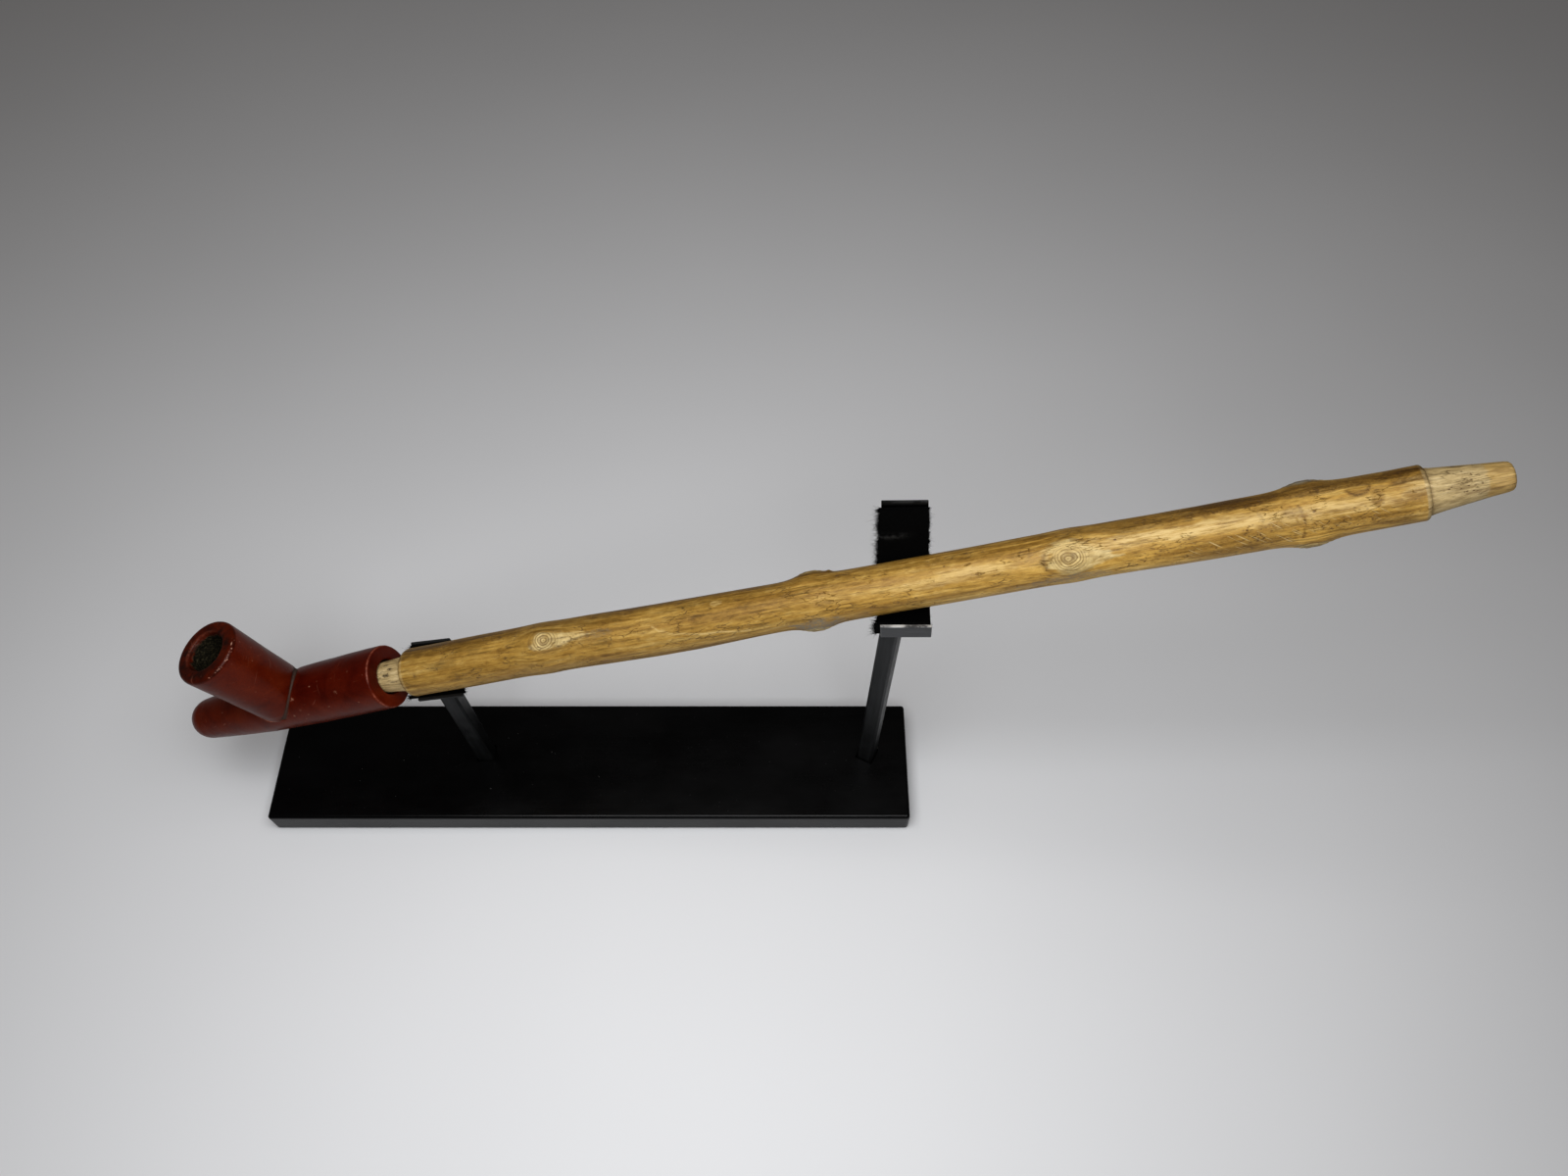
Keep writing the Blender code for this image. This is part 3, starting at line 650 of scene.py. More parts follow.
def nearest_scar(station, turn):
    """Place on the nearest branch scar, and how far inside its teardrop outline a point is."""
    best = np.full(len(station), -9.0)
    place = np.zeros((len(station), 3))
    for where, facing, before, after, half, lean in SCARS:
        along = station - where
        across = round_stem(turn, facing) - lean * np.clip(along, 0, after)
        reach = np.where(along < 0, along / before, along / after)
        narrowing = np.where(along > 0, (1 - np.clip(reach, 0, 1)) ** 0.8 * half, half)
        shape = 1 - np.hypot(reach, across / np.maximum(narrowing, 0.4))
        better = shape > best
        best = np.where(better, shape, best)
        place[better] = np.column_stack((along, across, np.zeros(len(station))))[better]
    return best, place


def stem_marks(station, turn, grain, bare_end, rounded):
    """The stem's stains, rubbed streaks and bare wood, with painted shade along its back and painted light
    on its underside, each by the name of its attribute.
    """

    def blot(where, facing, length, height, strength=1.0, edge=0.5):
        """A soft-edged patch, broken up by noise."""
        inside = 1 - np.hypot((station - where) / length, round_stem(turn, facing) / height)
        return strength * smoothstep(0.0, edge, inside + 0.45 * layered(grain, (7.0, 2.6, 2.6), int(where)))

    marks = {name: np.max([blot(*mark) for mark in table], axis=0) for name, table in STEM_MARKS.items()}

    ring_distance = np.hypot(station - RING_STAIN[0], round_stem(turn, RING_STAIN[1]) * 1.25)
    ring_stain = bell(ring_distance - 4.6, 0.9) * 1.2 + 0.35 * (ring_distance < 4.6)
    stain = np.maximum(marks["stain"], 0.85 * ring_stain)
    for joint in (BODY_LENGTH + 0.3, BODY_START):
        stain = np.maximum(stain, 0.65 * np.exp(-np.abs(station - joint) / 0.5))
    collar_turn = np.abs(wrapped(turn - radians(45)))
    for where, strength in COLLAR_ARCS:
        bow = where - 4.0 * collar_turn**2 - 0.6 * noise(grain, 3.0, 62)
        stain = np.maximum(stain, strength * bell(station - bow, 0.8) * (collar_turn < 0.62))
    marks["stain"] = np.clip(stain, 0, 1)

    # the dark band along the back, partly grease and partly painted shade, which fades towards the tenon
    # and round the ring stain
    band = smoothstep(radians(14), radians(-24), turn + 0.30 * layered(grain, (30.0, 5.0, 5.0), 81))
    band = band * smoothstep(radians(-175), radians(-120), turn) * (1 - 0.5 * bell(ring_distance, 9.0))
    marks["band"] = band * np.where(bare_end, 0.3, 0.82 + 0.18 * smoothstep(300, 420, station))

    # pale streaks, most of them along the front
    pale = blot(400, 22, 46, 3.4, 0.75) + blot(300, 38, 26, 3.0, 0.5) + blot(440, 22, 52, 4.0, 0.7)
    pale = np.maximum(pale, blot(318, 30, 20, 3.5, 0.6)) * bell(wrapped(turn - radians(28)), 0.9)
    pale = np.maximum(pale, blot(514, 12, 9, 6.0, 0.9)) + blot(106, 14, 9, 3.0, 0.8)
    pale = np.maximum(pale, blot(366, 10, 20, 2.4, 0.85))
    scratch_gap = np.abs(turn - np.radians(interpolate(LONG_SCRATCH, station))) * STEM_RADIUS
    on_scratch = (station > LONG_SCRATCH[0][0]) & (station < LONG_SCRATCH[-1][0])
    pale = np.maximum(pale, bell(scratch_gap, 0.55) * on_scratch)
    pale = np.maximum(pale, blot(482, 34, 44, 3.6, 0.75) * (1 - smoothstep(0.2, 0.6, marks["stain"])))
    pale = np.maximum(pale, blot(188, -7, 3.4, 1.5, 1.0, 0.2))
    marks["pale"] = np.where(bare_end, 0.0, np.clip(pale, 0, 1))

    shoulders = np.where(station > 0.5 * BODY_LENGTH, 0.9, 0.4)
    bare = np.where(rounded, shoulders, np.where(bare_end, 1.0, 0.0))
    marks["bare"] = bare * (1 - 0.55 * smoothstep(540.5, 542.0, station + noise(grain, 3.0, 90)))
    # the lower side is painted lighter, painted light from the floor below, over the paler handled wood
    # towards the mouthpiece
    painted_underside_light = smoothstep(radians(30), radians(72), turn)
    marks["handled_and_underside_light"] = smoothstep(180.0, 430.0, station) * (0.45 + 0.55 * painted_underside_light)
    return marks


def make_stem(finish):
    profile = stem_profile()
    sides = 168
    station, radius, part = (np.repeat(np.array(column), sides) for column in zip(*profile))
    turn = np.tile(np.linspace(-np.pi, np.pi, sides, endpoint=False), len(profile))
    on_body = part == "body"
    bare_end = np.isin(part, ("tenon", "mouthpiece"))
    rounded = np.isin(part, ("shoulder", "end"))

    knots = np.zeros(len(station))
    for place, height, facing in KNOTS:
        swell = KNOT_SWELL + height * np.cos(turn - radians(facing)) ** 4
        knots += bell(station - place, KNOT_LENGTH) * swell
    radius = radius + np.where(on_body, knots, 0.0)

    # fibres part round each scar, so the turn that they are drawn by bends away from it
    shape, scar_place = nearest_scar(station, turn)
    along, across = scar_place[:, 0], scar_place[:, 1]
    parting = 0.8 * bell(along, 16.0) * bell(across, 9.0) * np.clip(across, -4.0, 4.0)
    grain_turn = turn - parting / STEM_RADIUS
    grain = np.column_stack((station, STEM_RADIUS * np.cos(grain_turn), STEM_RADIUS * np.sin(grain_turn)))

    ragged = shape + 0.30 * noise(grain, (7.0, 1.1, 1.1), 31) + 0.14 * noise(grain, (2.2, 0.8, 0.8), 33)
    scar = np.where(on_body, 0.92 * smoothstep(-0.04, 0.26, ragged), 0.0)
    warp = np.column_stack([noise(grain, 4.5, 36), noise(grain, 4.5, 37), np.zeros(len(station))])
    whorl_place = scar_place + 1.1 * warp + 0.45 * np.roll(warp, 1, axis=1) * np.array((1.0, 1.0, 0.0))
    scar_distance = np.hypot(whorl_place[:, 0], whorl_place[:, 1] * 1.2)
    outline = 0.75 * bell(shape + 0.05 * noise(grain, 4.0, 34), 0.10) * (along < 10)
    outline = np.maximum(outline, bell(scar_distance - 2.2, 0.50))
    split = bell(across, 0.45) * ((along > 2) & (along < 13))
    outline = np.where(on_body, np.clip(np.maximum(outline, 0.55 * split), 0, 1), 0.0)

    # long flats left by the scraper, ridges, small dents, and what is left of one twig
    shift = 0.16 * layered(grain, (46.0, 7.0, 7.0), 3) + 0.06 * layered(grain, (16.0, 1.8, 1.8), 9, 2)
    dents = np.clip(noise(grain, (3.2, 1.5, 1.5), 17) - 0.72, 0, 1) * 0.5
    pad = 0.25 * bell(along, 8.0) * bell(across, 6.0)
    whorl = 0.10 * np.cos(np.hypot(along * 1.1, across * 1.7) * 2.1)
    hollow = 0.35 * np.exp(-(along**2 + across**2) / 5.0)
    twig = 0.9 * bell(station - 247.5, 1.5) * bell(wrapped(turn + radians(52)), 0.12)
    body_shift = shift - dents + (pad + whorl - hollow) * scar + twig

    # knife cuts round the tenon and the mouthpiece: uneven flats, each cut slightly hollow
    phase = turn * np.where(station > 0, 11, 8) + 1.3 * noise(grain, (14.0, 30.0, 30.0), 51)
    knife = -0.16 * (1 - np.abs(np.cos(phase / 2)))
    knife = knife - 0.10 * np.clip(noise(grain, (3.0, 5.0, 5.0), 58), 0, 1)
    fade = smoothstep(BODY_START, 10, station) * smoothstep(0, 8, BODY_LENGTH - station)
    shift = np.where(on_body, body_shift * (0.25 + 0.75 * fade), np.where(bare_end, knife, 0.0))
    radius = radius + np.where(rounded, 0.10 * noise(grain, 2.5, 71), shift)

    on_tenon = (part == "tenon") | ((part == "bore") & (station < 0))
    rise = np.where(on_tenon, 0.0, interpolate(BODY_SWAY, station))
    points = np.column_stack((station, -radius * np.sin(turn), rise + radius * np.cos(turn)))
    mesh = mesh_of("stem", points, grid_faces(len(profile), sides, True, True))
    set_attributes(
        mesh,
        grain=grain,
        flat=np.column_stack((station, turn * STEM_RADIUS, np.zeros(len(turn)))),
        scar_place=whorl_place,
        whorl_fade=1 - smoothstep(4.0, 11.0, scar_distance),
        scar=scar,
        outline=outline,
        **stem_marks(station, turn, grain, bare_end, rounded),
    )
    matrix = Matrix.Translation(SHOULDER) @ Matrix.Rotation(-STEM_SLOPE, 4, "Y")
    return add_piece("wooden_stem", mesh, "stem", finish, ["pipe_stem"], matrix)


# The bowl


def remeshed(node, voxel, smoothing):
    """A copy of a CAD node's mesh made of small even faces."""
    obj = new_object("work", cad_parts[node].data.copy())
    weld(obj)
    remesh = obj.modifiers.new("fine", "REMESH")
    remesh.mode = "VOXEL"
    remesh.voxel_size = voxel * MM
    remesh.use_smooth_shade = True
    smooth = obj.modifiers.new("smooth", "SMOOTH")
    smooth.factor = 0.5
    smooth.iterations = smoothing
    bpy.context.view_layer.update()
    mesh = bpy.data.meshes.new_from_object(obj.evaluated_get(bpy.context.evaluated_depsgraph_get()))
    work = obj.data
    bpy.data.objects.remove(obj)
    bpy.data.meshes.remove(work)
    return mesh


def turned_place(points, origin, axis):
    """Distance along a turned shape's axis, distance from it, and the direction away from it."""
    offset = points - np.array(origin) / MM
    along = offset @ np.array(axis)
    away = offset - np.outer(along, np.array(axis))
    distance = np.linalg.norm(away, axis=1)
    return along, distance, away / np.maximum(distance, 1e-6)[:, None]


def make_bowl(finish):
    mesh = remeshed("pipe_bowl", 0.48, 8)
    points = read_points(mesh) / MM
    shank_axis = Vector((-math.cos(SHANK_SLOPE), 0.0, -math.sin(SHANK_SLOPE)))
    chimney_axis = Vector((-math.sin(CHIMNEY_LEAN), 0.0, math.cos(CHIMNEY_LEAN)))
    along_shank, from_shank, shank_out = turned_place(points, SHANK_MOUTH, shank_axis)
    up_chimney, from_chimney, chimney_out = turned_place(points, JUNCTION, chimney_axis)
    shank_gap = from_shank - np.interp(along_shank, *zip(*SHANK_RADII))
    chimney_gap = from_chimney - np.interp(up_chimney, *zip(*CHIMNEY_RADII))

    # draw the faces back onto the true turned surfaces
    for out, gap, on_surface in (
        (shank_out, shank_gap, (along_shank > 2) & (along_shank < 131)),
        (chimney_out, chimney_gap, (up_chimney > 10) & (up_chimney < 61.5)),
    ):
        near = (1 - smoothstep(0.12, 0.3, np.abs(gap))) * on_surface
        points = points - out * (gap * near * 0.9)[:, None]

    # the crease between them: a filed groove towards the stem, a thin line towards the prow
    junction = np.array(JUNCTION) / MM
    width = 0.60 + 0.55 * smoothstep(-8.0, 8.0, points[:, 1] - junction[1])
    near_crease = bell(shank_gap, width) * bell(chimney_gap, width) * (up_chimney > 5)
    stem_side = smoothstep(-3.0, 3.0, (points - junction) @ np.array(-shank_axis))
    groove = near_crease * stem_side

    front_axis = np.array((0.0, -1.0, 0.0))
    right_axis = np.array((math.cos(CHIMNEY_LEAN), 0.0, math.sin(CHIMNEY_LEAN)))
    around = np.arctan2(chimney_out @ right_axis, chimney_out @ front_axis)

    # chips along the rim's front and right edge, and a few elsewhere
    generator = np.random.default_rng(7)
    chip = np.zeros(len(points))
    depth = np.zeros(len(points))
    turns = np.radians(generator.uniform(24, 112, 36))
    spots = [(turn, generator.uniform(0.24, 0.50), 1.0) for turn in turns]
    spots += [(radians(-64), 0.9, 1.0), (radians(-120), 0.6, 0.8), (radians(170), 0.7, 0.8)]
    for turn, size, strength in spots:
        lower = generator.uniform(-0.5, 0.8)
        outward = right_axis * math.sin(turn) + front_axis * math.cos(turn)
        edge = junction + np.array(chimney_axis) * (CHIMNEY_LENGTH - 0.8 - lower)
        edge = edge + outward * (RIM_EDGE_RADIUS + lower * 0.4)
        offset = points - edge
        stretched = offset + np.outer(offset @ chimney_axis, np.array(chimney_axis)) * 0.6
        distance = np.linalg.norm(stretched, axis=1) / size + 0.55 * noise(points, 0.8, 5)
        chip = np.maximum(chip, (1 - smoothstep(0.55, 1.0, distance)) * strength)
        depth = np.maximum(depth, np.clip(1 - distance, 0, 1) * 0.45 * size)

    inside = (from_chimney < CHAMBER_RADIUS + 0.5) & (up_chimney > -1) & (up_chimney < CHIMNEY_LENGTH - 1.2)
    inside = inside & (chimney_gap < -5)
    ragged_top = up_chimney + 1.1 * noise(points, 2.2, 12)
    cake = smoothstep(CHIMNEY_LENGTH - 1.4, CHIMNEY_LENGTH - 3.4, ragged_top) * inside
    crumbs = cake * (0.35 + 0.35 * layered(points, 1.6, 61))
    rim_face = (up_chimney > CHIMNEY_LENGTH - 2.2) & (from_chimney < 19.5)
    inner_edge = bell(from_chimney - 12.4, 0.7) * rim_face
    # a painted highlight along the left and back of the rim's inner edge
    left = smoothstep(0.1, 0.9, np.cos(around - radians(-125)))
    soot = np.where(rim_face, 0.95 - 0.30 * smoothstep(13.0, 19.0, from_chimney), 0.0)
    soot = np.clip(soot + 0.25 * noise(points, 5.0, 22) * rim_face, 0, 0.95)
    face_edge = bell(along_shank - 0.5, 0.40) * bell(from_shank - 17.7, 0.40)
    wear = near_crease * (1 - stem_side) + 0.25 * inner_edge * left
    wear = wear + 0.70 * face_edge * smoothstep(-0.2, 0.3, noise(points, 4.0, 44) + 0.3)

    turn_round = np.arctan2(-shank_out[:, 1], shank_out[:, 2])
    marks = np.zeros(len(points))
    for where, turn, size in KNOCKS:
        place = np.hypot(along_shank - where, (turn_round - radians(turn)) * 17.5)
        marks = np.maximum(marks, 1 - smoothstep(0.2, 1.0, place / size + 0.6 * noise(points, 0.8, 55)))
    marks = marks * (np.abs(shank_gap) < 0.6)
    seam = bell(shank_gap, 0.45) * bell(chimney_gap, 0.45) * (1 - stem_side) * (up_chimney > 5)
    marks = np.maximum(marks, 0.8 * seam)
    # the inside of the socket is painted near black: painted shade in the gap round the tenon
    socket = (along_shank > 1.0) & (from_shank < 12.0) & (up_chimney < 62) & (along_shank < 60)
    soot = np.maximum(soot, np.where(socket & (along_shank < 45), 0.8, 0.0))

    lumps = 0.09 * layered(points, 11.0, 2) + 0.02 * noise(points, 1.6, 8)
    facets = 0.05 * np.abs(noise(points, (16.0, 5.0, 16.0), 19))
    outside = ~inside & ~socket
    shift = np.where(outside, lumps - facets, 0.0) - depth - 0.42 * groove - 0.10 * near_crease + crumbs
    write_points(mesh, points * MM)
    points = points + read_points(mesh, "normal") * shift[:, None]
    write_points(mesh, points * MM)

    # the top of the shank, short of the chimney, is painted darker as painted shade
    upper_side = 1 - smoothstep(radians(45), radians(80), turn_round)
    deep = smoothstep(-2.0, 6.0, chimney_gap) * upper_side * (along_shank < 75)
    set_attributes(
        mesh,
        chip=np.clip(chip, 0, 1),
        cake=cake,
        soot=soot,
        wear=np.clip(wear, 0, 1),
        marks=marks,
        deep=deep * outside,
        dust=np.clip(groove * 1.5, 0, 1),
    )
    return add_piece("stone_bowl", mesh, "bowl", finish, ["pipe_bowl"])


# The brackets and their felts


def bracket_frame(spec):
    """The matrix that puts a bracket's channel at its place on the stand."""
    turn = Matrix.Rotation(radians(spec["yaw"]), 4, "Z")
    roll = Matrix.Rotation(-radians(spec["roll"]), 4, "Y")
    return Matrix.Translation(Vector((spec["x"], spec["y"], spec["z"])) * MM) @ turn @ roll


def channel_path(lip, floor_depth, plate, inset, spacing=0.7, bend_steps=8):
    """Dense (y, z) points along a bracket's channel, inset above its metal, and the way into it."""
    radius = max(BEND_RADIUS - inset, 0.4)
    front, back = -floor_depth / 2 + inset, floor_depth / 2 - inset
    bends = []
    for centre_y, start in ((front + radius, math.pi), (back - radius, 1.5 * math.pi)):
        turns = [start + math.pi / 2 * step / bend_steps for step in range(bend_steps + 1)]
        bends.append([
            (centre_y + radius * math.cos(t), inset + radius + radius * math.sin(t), t + math.pi)
            for t in turns
        ])
    legs = (
        ((front, lip), bends[0][0], round(lip / spacing)),
        (bends[0][-1], bends[1][0], round(floor_depth / spacing)),
        (bends[1][-1], (back, plate), round(plate / spacing)),
    )
    rows = []
    for leg, (first, last, steps) in enumerate(legs):
        steps = max(2, steps)
        inward = (0.0, math.pi / 2, math.pi)[leg]
        for step in range(steps + 1):
            part = step / steps
            y, z = (a + (b - a) * part for a, b in zip(first[:2], last[:2]))
            rows.append((y, z, inward))
        if leg < 2:
            rows += bends[leg][1:-1]
    return np.array(rows)


def strip_grid(path, lip_edges, plate_edges, columns):
    """Points across a strip whose side edges run straight from the lip to the plate's top."""
    steps = np.hypot(*np.diff(path[:, :2], axis=0).T)
    part = np.concatenate(([0.0], np.cumsum(steps))) / steps.sum()
    low = lip_edges[0] + (plate_edges[0] - lip_edges[0]) * part
    high = lip_edges[1] + (plate_edges[1] - lip_edges[1]) * part
    across = np.linspace(0, 1, columns)
    x = low[:, None] + (high - low)[:, None] * across[None, :]
    y = np.repeat(path[:, 0][:, None], columns, 1)
    z = np.repeat(path[:, 1][:, None], columns, 1)
    return np.stack((x, y, z), axis=-1), part


def closed_strip(upper, lower):
    """A closed strip between two grids of points of the same shape: vertices and faces."""
    rows, columns = upper.shape[:2]
    points = np.concatenate((upper.reshape(-1, 3), lower.reshape(-1, 3)))
    count = rows * columns
    faces = grid_faces(rows, columns)
    faces += [tuple(index + count for index in reversed(face)) for face in grid_faces(rows, columns)]
    border = list(range(columns))
    border += [r * columns + columns - 1 for r in range(1, rows)]
    border += [(rows - 1) * columns + c for c in range(columns - 2, -1, -1)]
    border += [r * columns for r in range(rows - 2, 0, -1)]
    for first, second in zip(border, border[1:] + border[:1]):
        faces.append((second, first, first + count, second + count))
    return points, faces


def make_bracket(side, spec, finish):
    """A bent strip with eased edges and slight waves, brighter where it is rubbed."""
    edges = [(-LIP_WIDTH / 2, LIP_WIDTH / 2)]
    edges.append((spec["skew"] - PLATE_WIDTH / 2, spec["skew"] + PLATE_WIDTH / 2))
    columns = 30
    grids = []
    for inset in (0.0, -STRIP_THICK):
        path = channel_path(spec["lip"], spec["depth"], spec["plate"], inset)
        grids.append(strip_grid(path, *edges, columns)[0])
    points, faces = closed_strip(*grids)
    points = points + 0.05 * np.column_stack([noise(points, 9.0, seed) for seed in (1, 2, 3)])
    mesh = mesh_of(f"{side}_bracket_strip", points, faces)
    bm = bmesh.new()
    bm.from_mesh(mesh)
    sharp = [e for e in bm.edges if len(e.link_faces) == 2 and e.calc_face_angle() > radians(50)]
    bmesh.ops.bevel(bm, geom=sharp, offset=0.22 * MM, segments=2, affect="EDGES")
    bm.to_mesh(mesh)
    bm.free()
    mesh.shade_smooth()
    mesh.set_sharp_from_angle(angle=radians(40))
    place = read_points(mesh) / MM
    front = -spec["depth"] / 2
    lip_top = bell(place[:, 2] - spec["lip"], 0.32) * (place[:, 1] < front + 1)
    lip_top = lip_top * (0.75 + 0.6 * noise(place, 3.0, 14))
    plate_top = bell(place[:, 2] - spec["plate"], 0.5)
    lip_side = bell(np.abs(place[:, 0]) - LIP_WIDTH / 2, 0.3) * (place[:, 1] < front + 2)
    worn = np.clip(lip_top + 0.06 * plate_top + 0.2 * lip_side, 0, 1)
    # the whole back plate is painted near black
    on_plate = smoothstep(0.0, 3.0, place[:, 1]) * smoothstep(0.4, -0.2, place[:, 2] - spec["plate"])
    set_attributes(mesh, worn=worn, covered=on_plate)
    matrix = bracket_frame(spec)
    return add_piece(f"{side}_strip", mesh, "stand", finish, [f"{side}_bracket"], matrix)


def fibre_mesh(name, roots, directions, lengths, width, seed):
    """Fine curved fibres, each a closed three-sided spike that bends as it goes."""
    generator = np.random.default_rng(seed)
    points, faces = [], []
    for root, direction, length in zip(roots, directions, lengths):
        direction = direction / np.linalg.norm(direction)
        side = np.cross(direction, generator.normal(size=3))
        side /= np.linalg.norm(side)
        other = np.cross(direction, side)
        bend = side * generator.uniform(-0.5, 0.5) + other * generator.uniform(-0.5, 0.5)
        first = len(points)
        for part, thick in ((0.0, 1.0), (0.5, 0.8)):
            middle = root + direction * length * part + bend * length * part**2
            for corner in range(3):
                turn = 2 * math.pi * corner / 3
                points.append(middle + (side * math.cos(turn) + other * math.sin(turn)) * width * thick)
        points.append(root + direction * length + bend * length)
        faces.append((first + 2, first + 1, first))
        for corner in range(3):
            after = (corner + 1) % 3
            faces.append((first + corner, first + after, first + 3 + after, first + 3 + corner))
            faces.append((first + 3 + corner, first + 3 + after, first + 6))
    return mesh_of(name, points, faces, outward=False)


def make_felt(side, spec, finish):
    """A felt strip glued into the channel: uneven cut edges, matted faces and loose fibres."""
    felt_plate = spec["plate"] - spec["felt_below"]
    columns = 46
    grids = []
    for inset in (GAP, GAP + FELT_THICK):
        path = channel_path(spec["felt_lip"], spec["depth"], felt_plate, inset)
        grid, part = strip_grid(path, spec["felt_front"], spec["felt_back"], columns)
        grids.append(grid)
    lower, upper = grids
    rows = upper.shape[0]
    length = np.hypot(*np.diff(path[:, :2], axis=0).T).sum()
    across = np.linspace(-1, 1, columns)
    inward = np.stack((np.zeros(rows), np.cos(path[:, 2]), np.sin(path[:, 2])), axis=-1)

    # each side edge wanders, and the nap stands up unevenly from the upper face
    for sign in (-1.0, 1.0):
        line = np.column_stack((part * length, np.full(rows, sign * 40), np.zeros(rows)))
        wander = 0.45 * layered(line, 3.0, 5 if sign < 0 else 6)
        share = smoothstep(0.75, 1.0, sign * across)
        for grid in (upper, lower):
            grid[:, :, 0] += wander[:, None] * share[None, :]
    face = upper.reshape(-1, 3)
    nap = 0.20 * layered(face, 2.4, 11) + 0.08 * noise(face, 0.9, 14)
    rounded = 0.35 * smoothstep(0.86, 1.0, np.abs(across))
    lift = nap.reshape(rows, columns) - rounded[None, :]
    upper = upper + inward[:, None, :] * lift[:, :, None]
    points, faces = closed_strip(upper, lower)
    mesh = mesh_of(f"{side}_felt_sheet", points, faces)
    # a faint grey streak painted across the right felt's back
    up_plate = points[:, 2] / spec["plate"] - 0.62 - 0.02 * points[:, 0] / 10
    smudge = bell(up_plate, 0.035) * smoothstep(6.0, -4.0, points[:, 0]) * (points[:, 1] > 0)
    set_attributes(mesh, smudge=smudge * (side == "right"))
    matrix = bracket_frame(spec)
    felt = add_piece(f"{side}_felt_lining", mesh, "stand", finish, [f"{side}_felt"], matrix)

    # fibres: thickest at the two cut sides, a few on the face
    generator = np.random.default_rng(21 if side == "left" else 22)
    per_edge = round(length * 30)
    roots, directions, lengths = [], [], []
    for sign, column in ((-1.0, 0), (1.0, columns - 1)):
        share = 1.0 if sign < 0 else 0.6
        for row in generator.integers(0, rows, round(per_edge * share)):
            part_up = generator.uniform(0, 1)
            root = lower[row, column] * (1 - part_up) + upper[row, column] * part_up
            roots.append(root + np.array((0.0, *generator.uniform(-0.35, 0.35, 2))))
            spread = generator.normal(size=3) * 0.55
            directions.append(np.array((sign, 0.0, 0.0)) + inward[row] * 0.25 + spread)
            lengths.append(generator.gamma(2.0, 0.80) * (1.0 if sign < 0 else 0.5))
    for row, outward in ((0, (0.0, -0.7, 0.3)), (rows - 1, (0.0, 0.0, 0.8))):
        for column in generator.integers(0, columns, 220):
            roots.append(upper[row, column] * 0.5 + lower[row, column] * 0.5)
            directions.append(np.array(outward) + generator.normal(size=3) * 0.6)
            lengths.append(generator.gamma(2.2, 0.36))
    for _ in range(round(length * 20)):
        row, column = generator.integers(0, rows), generator.integers(2, columns - 2)
        roots.append(upper[row, column] - inward[row] * 0.1)
        directions.append(inward[row] + generator.normal(size=3) * 0.8)
        lengths.append(generator.uniform(0.15, 0.55))
    fuzz_mesh = fibre_mesh(f"{side}_fuzz", roots, directions, lengths, 0.055, 31)
    fuzz = add_piece(f"{side}_felt_fuzz", fuzz_mesh, "stand", finish, matrix=matrix)
    return felt


# The rest of the stand


def dress(node, finish, bevel):
    """A carried-over CAD node with eased edges and a better finish."""
    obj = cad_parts[node]
    coat(obj, finish)
    weld(obj)
    eased = obj.modifiers.new("eased edges", "BEVEL")
    eased.width = bevel * MM
    eased.segments = 2
    eased.limit_method = "ANGLE"
    eased.angle_limit = radians(35)
    eased.harden_normals = True
    return obj


def make_dust(finish):
    """Lint and crumbs that have settled on the board's top."""
    low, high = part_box("base_board")
    generator = np.random.default_rng(3)
    margin = 4.0
    roots, directions, lengths = [], [], []
    for _ in range(70):
        x = generator.uniform(low.x / MM + margin, high.x / MM - margin)
        y = generator.uniform(low.y / MM + margin, high.y / MM - margin)
        heading = generator.uniform(0, 2 * math.pi)
        roots.append(np.array((x, y, high.z / MM + 0.05)))
        directions.append(np.array((math.cos(heading), math.sin(heading), 0.06)))
        lengths.append(generator.choice((0.25, 0.35, 0.5, 1.2), p=(0.4, 0.3, 0.2, 0.1)))
    mesh = fibre_mesh("dust", roots, directions, lengths, 0.10, 8)
    points = read_points(mesh)
    points[:, 2] = np.maximum(points[:, 2], high.z)
    write_points(mesh, points)
    return add_piece("board_dust", mesh, "stand", finish)


# The camera, lights and floor


def make_camera():
    data = bpy.data.cameras.new("camera")
    data.sensor_width = SENSOR_WIDTH
    data.lens = LENS
    data.clip_start = 0.01
    camera = new_object("camera", data)
    camera.location = CAMERA_PLACE
    camera.rotation_euler = (radians(90.0 - CAMERA_DIP), 0.0, 0.0)
    bpy.context.scene.camera = camera


def make_light(name, location, target, size, power, colour):
    data = bpy.data.lights.new(name, "AREA")
    data.shape = "RECTANGLE"
    data.size, data.size_y = size
    data.energy = power
    data.color = colour
    light = new_object(name, data)
    light.location = location
    light.rotation_euler = (Vector(location) - Vector(target)).to_track_quat("Z", "Y").to_euler()


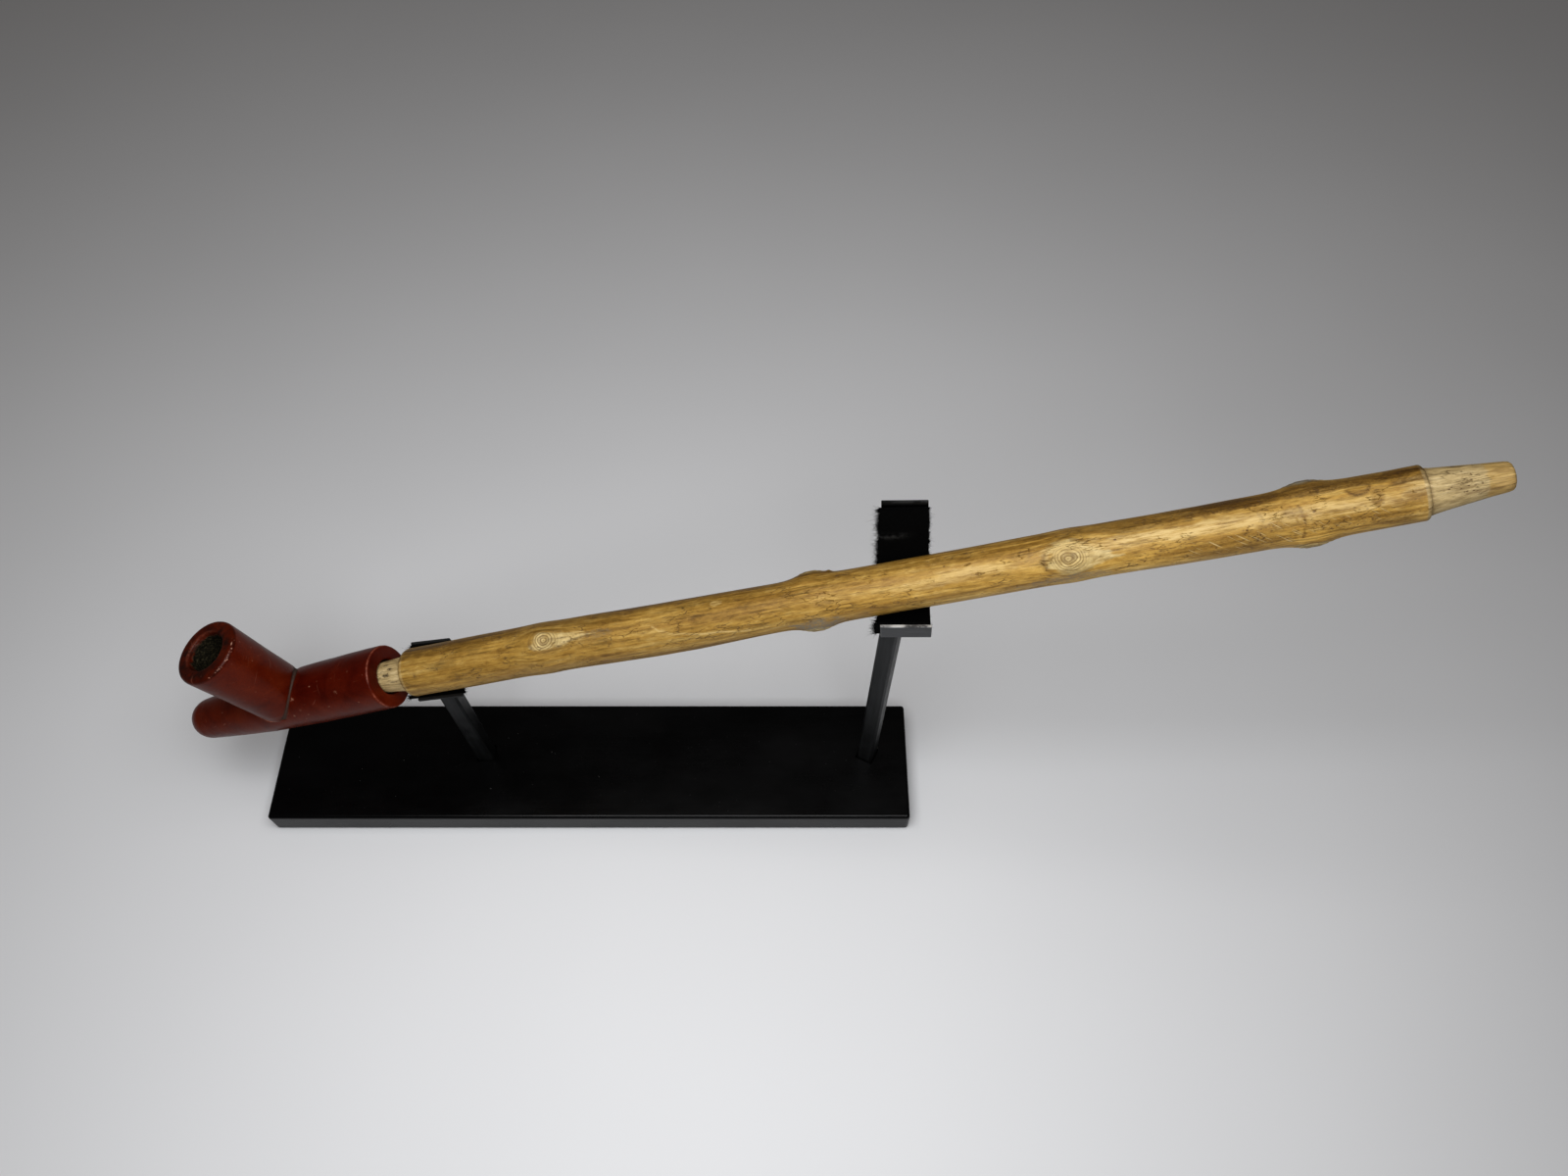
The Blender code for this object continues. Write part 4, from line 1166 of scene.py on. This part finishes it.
def make_floor():
    """A plain pale floor, just under the board."""
    f = Finish("pale_floor")
    tone = f.noise(f.place(1.5), detail=3.0)
    f.set(Base_Color=f.ramp(tone, (0.3, (0.72, 0.725, 0.74)), (0.7, (0.76, 0.765, 0.78))), Roughness=0.7)
    mesh = bpy.data.meshes.new("floor")
    reach = 6.0
    corners = [(-reach, -reach, 0), (reach, -reach, 0), (reach, reach, 0), (-reach, reach, 0)]
    mesh.from_pydata(corners, [], [(0, 1, 2, 3)])
    mesh.materials.append(f.material)
    floor = new_object("floor", mesh)
    floor.location.z = -0.0002


def make_surroundings():
    world = bpy.data.worlds.new("studio")
    world.use_nodes = True
    background = world.node_tree.nodes["Background"]
    background.inputs["Color"].default_value = (0.88, 0.83, 0.79, 1.0)
    background.inputs["Strength"].default_value = 0.115
    bpy.context.scene.world = world
    bpy.context.scene.view_settings.view_transform = "Standard"
    bpy.context.scene.view_settings.look = "Medium High Contrast"
    make_light("key", (0.06, -0.30, 0.74), (0.06, -0.28, 0.0), (0.50, 0.56), 3.8, (0.97, 0.985, 1.0))
    make_light("top", (0.10, -0.04, 0.92), (0.10, -0.04, 0.0), (0.80, 0.44), 2.0, (1.0, 0.985, 0.97))
    make_floor()


make_camera()
make_surroundings()

wood = wood_finish()
stone = stone_finish()
paint = paint_finish()
felt_cloth = felt_finish()
post_steel = steel_finish("post_steel", (0.010, 0.0105, 0.011), (0.045, 0.047, 0.049), 0.75, 0.36)
strip_steels = {
    "left": steel_finish("blackened_strip", (0.002, 0.002, 0.002), (0.008, 0.008, 0.008), 0.0, 0.6),
    "right": steel_finish(
        "strip_steel", (0.040, 0.041, 0.043), (0.105, 0.107, 0.111), 0.8, 0.34, (25.0, 300.0, 300.0),
        (0.60, 0.60, 0.59),
    ),
}
screw_steel = steel_finish("screw_steel", (0.10, 0.10, 0.10), (0.24, 0.24, 0.235), 0.95, 0.28)

make_stem(wood)
make_bowl(stone)
for side_name, bracket in BRACKETS.items():
    make_bracket(side_name, bracket, strip_steels[side_name])
    make_felt(side_name, bracket, felt_cloth)
    dress(f"{side_name}_post", post_steel, 0.3)
    dress(f"{side_name}_screw", screw_steel, 0.15)
    dress(f"{side_name}_washer", screw_steel, 0.12)
dress("base_board", paint, 0.2)
make_dust(lint_finish())
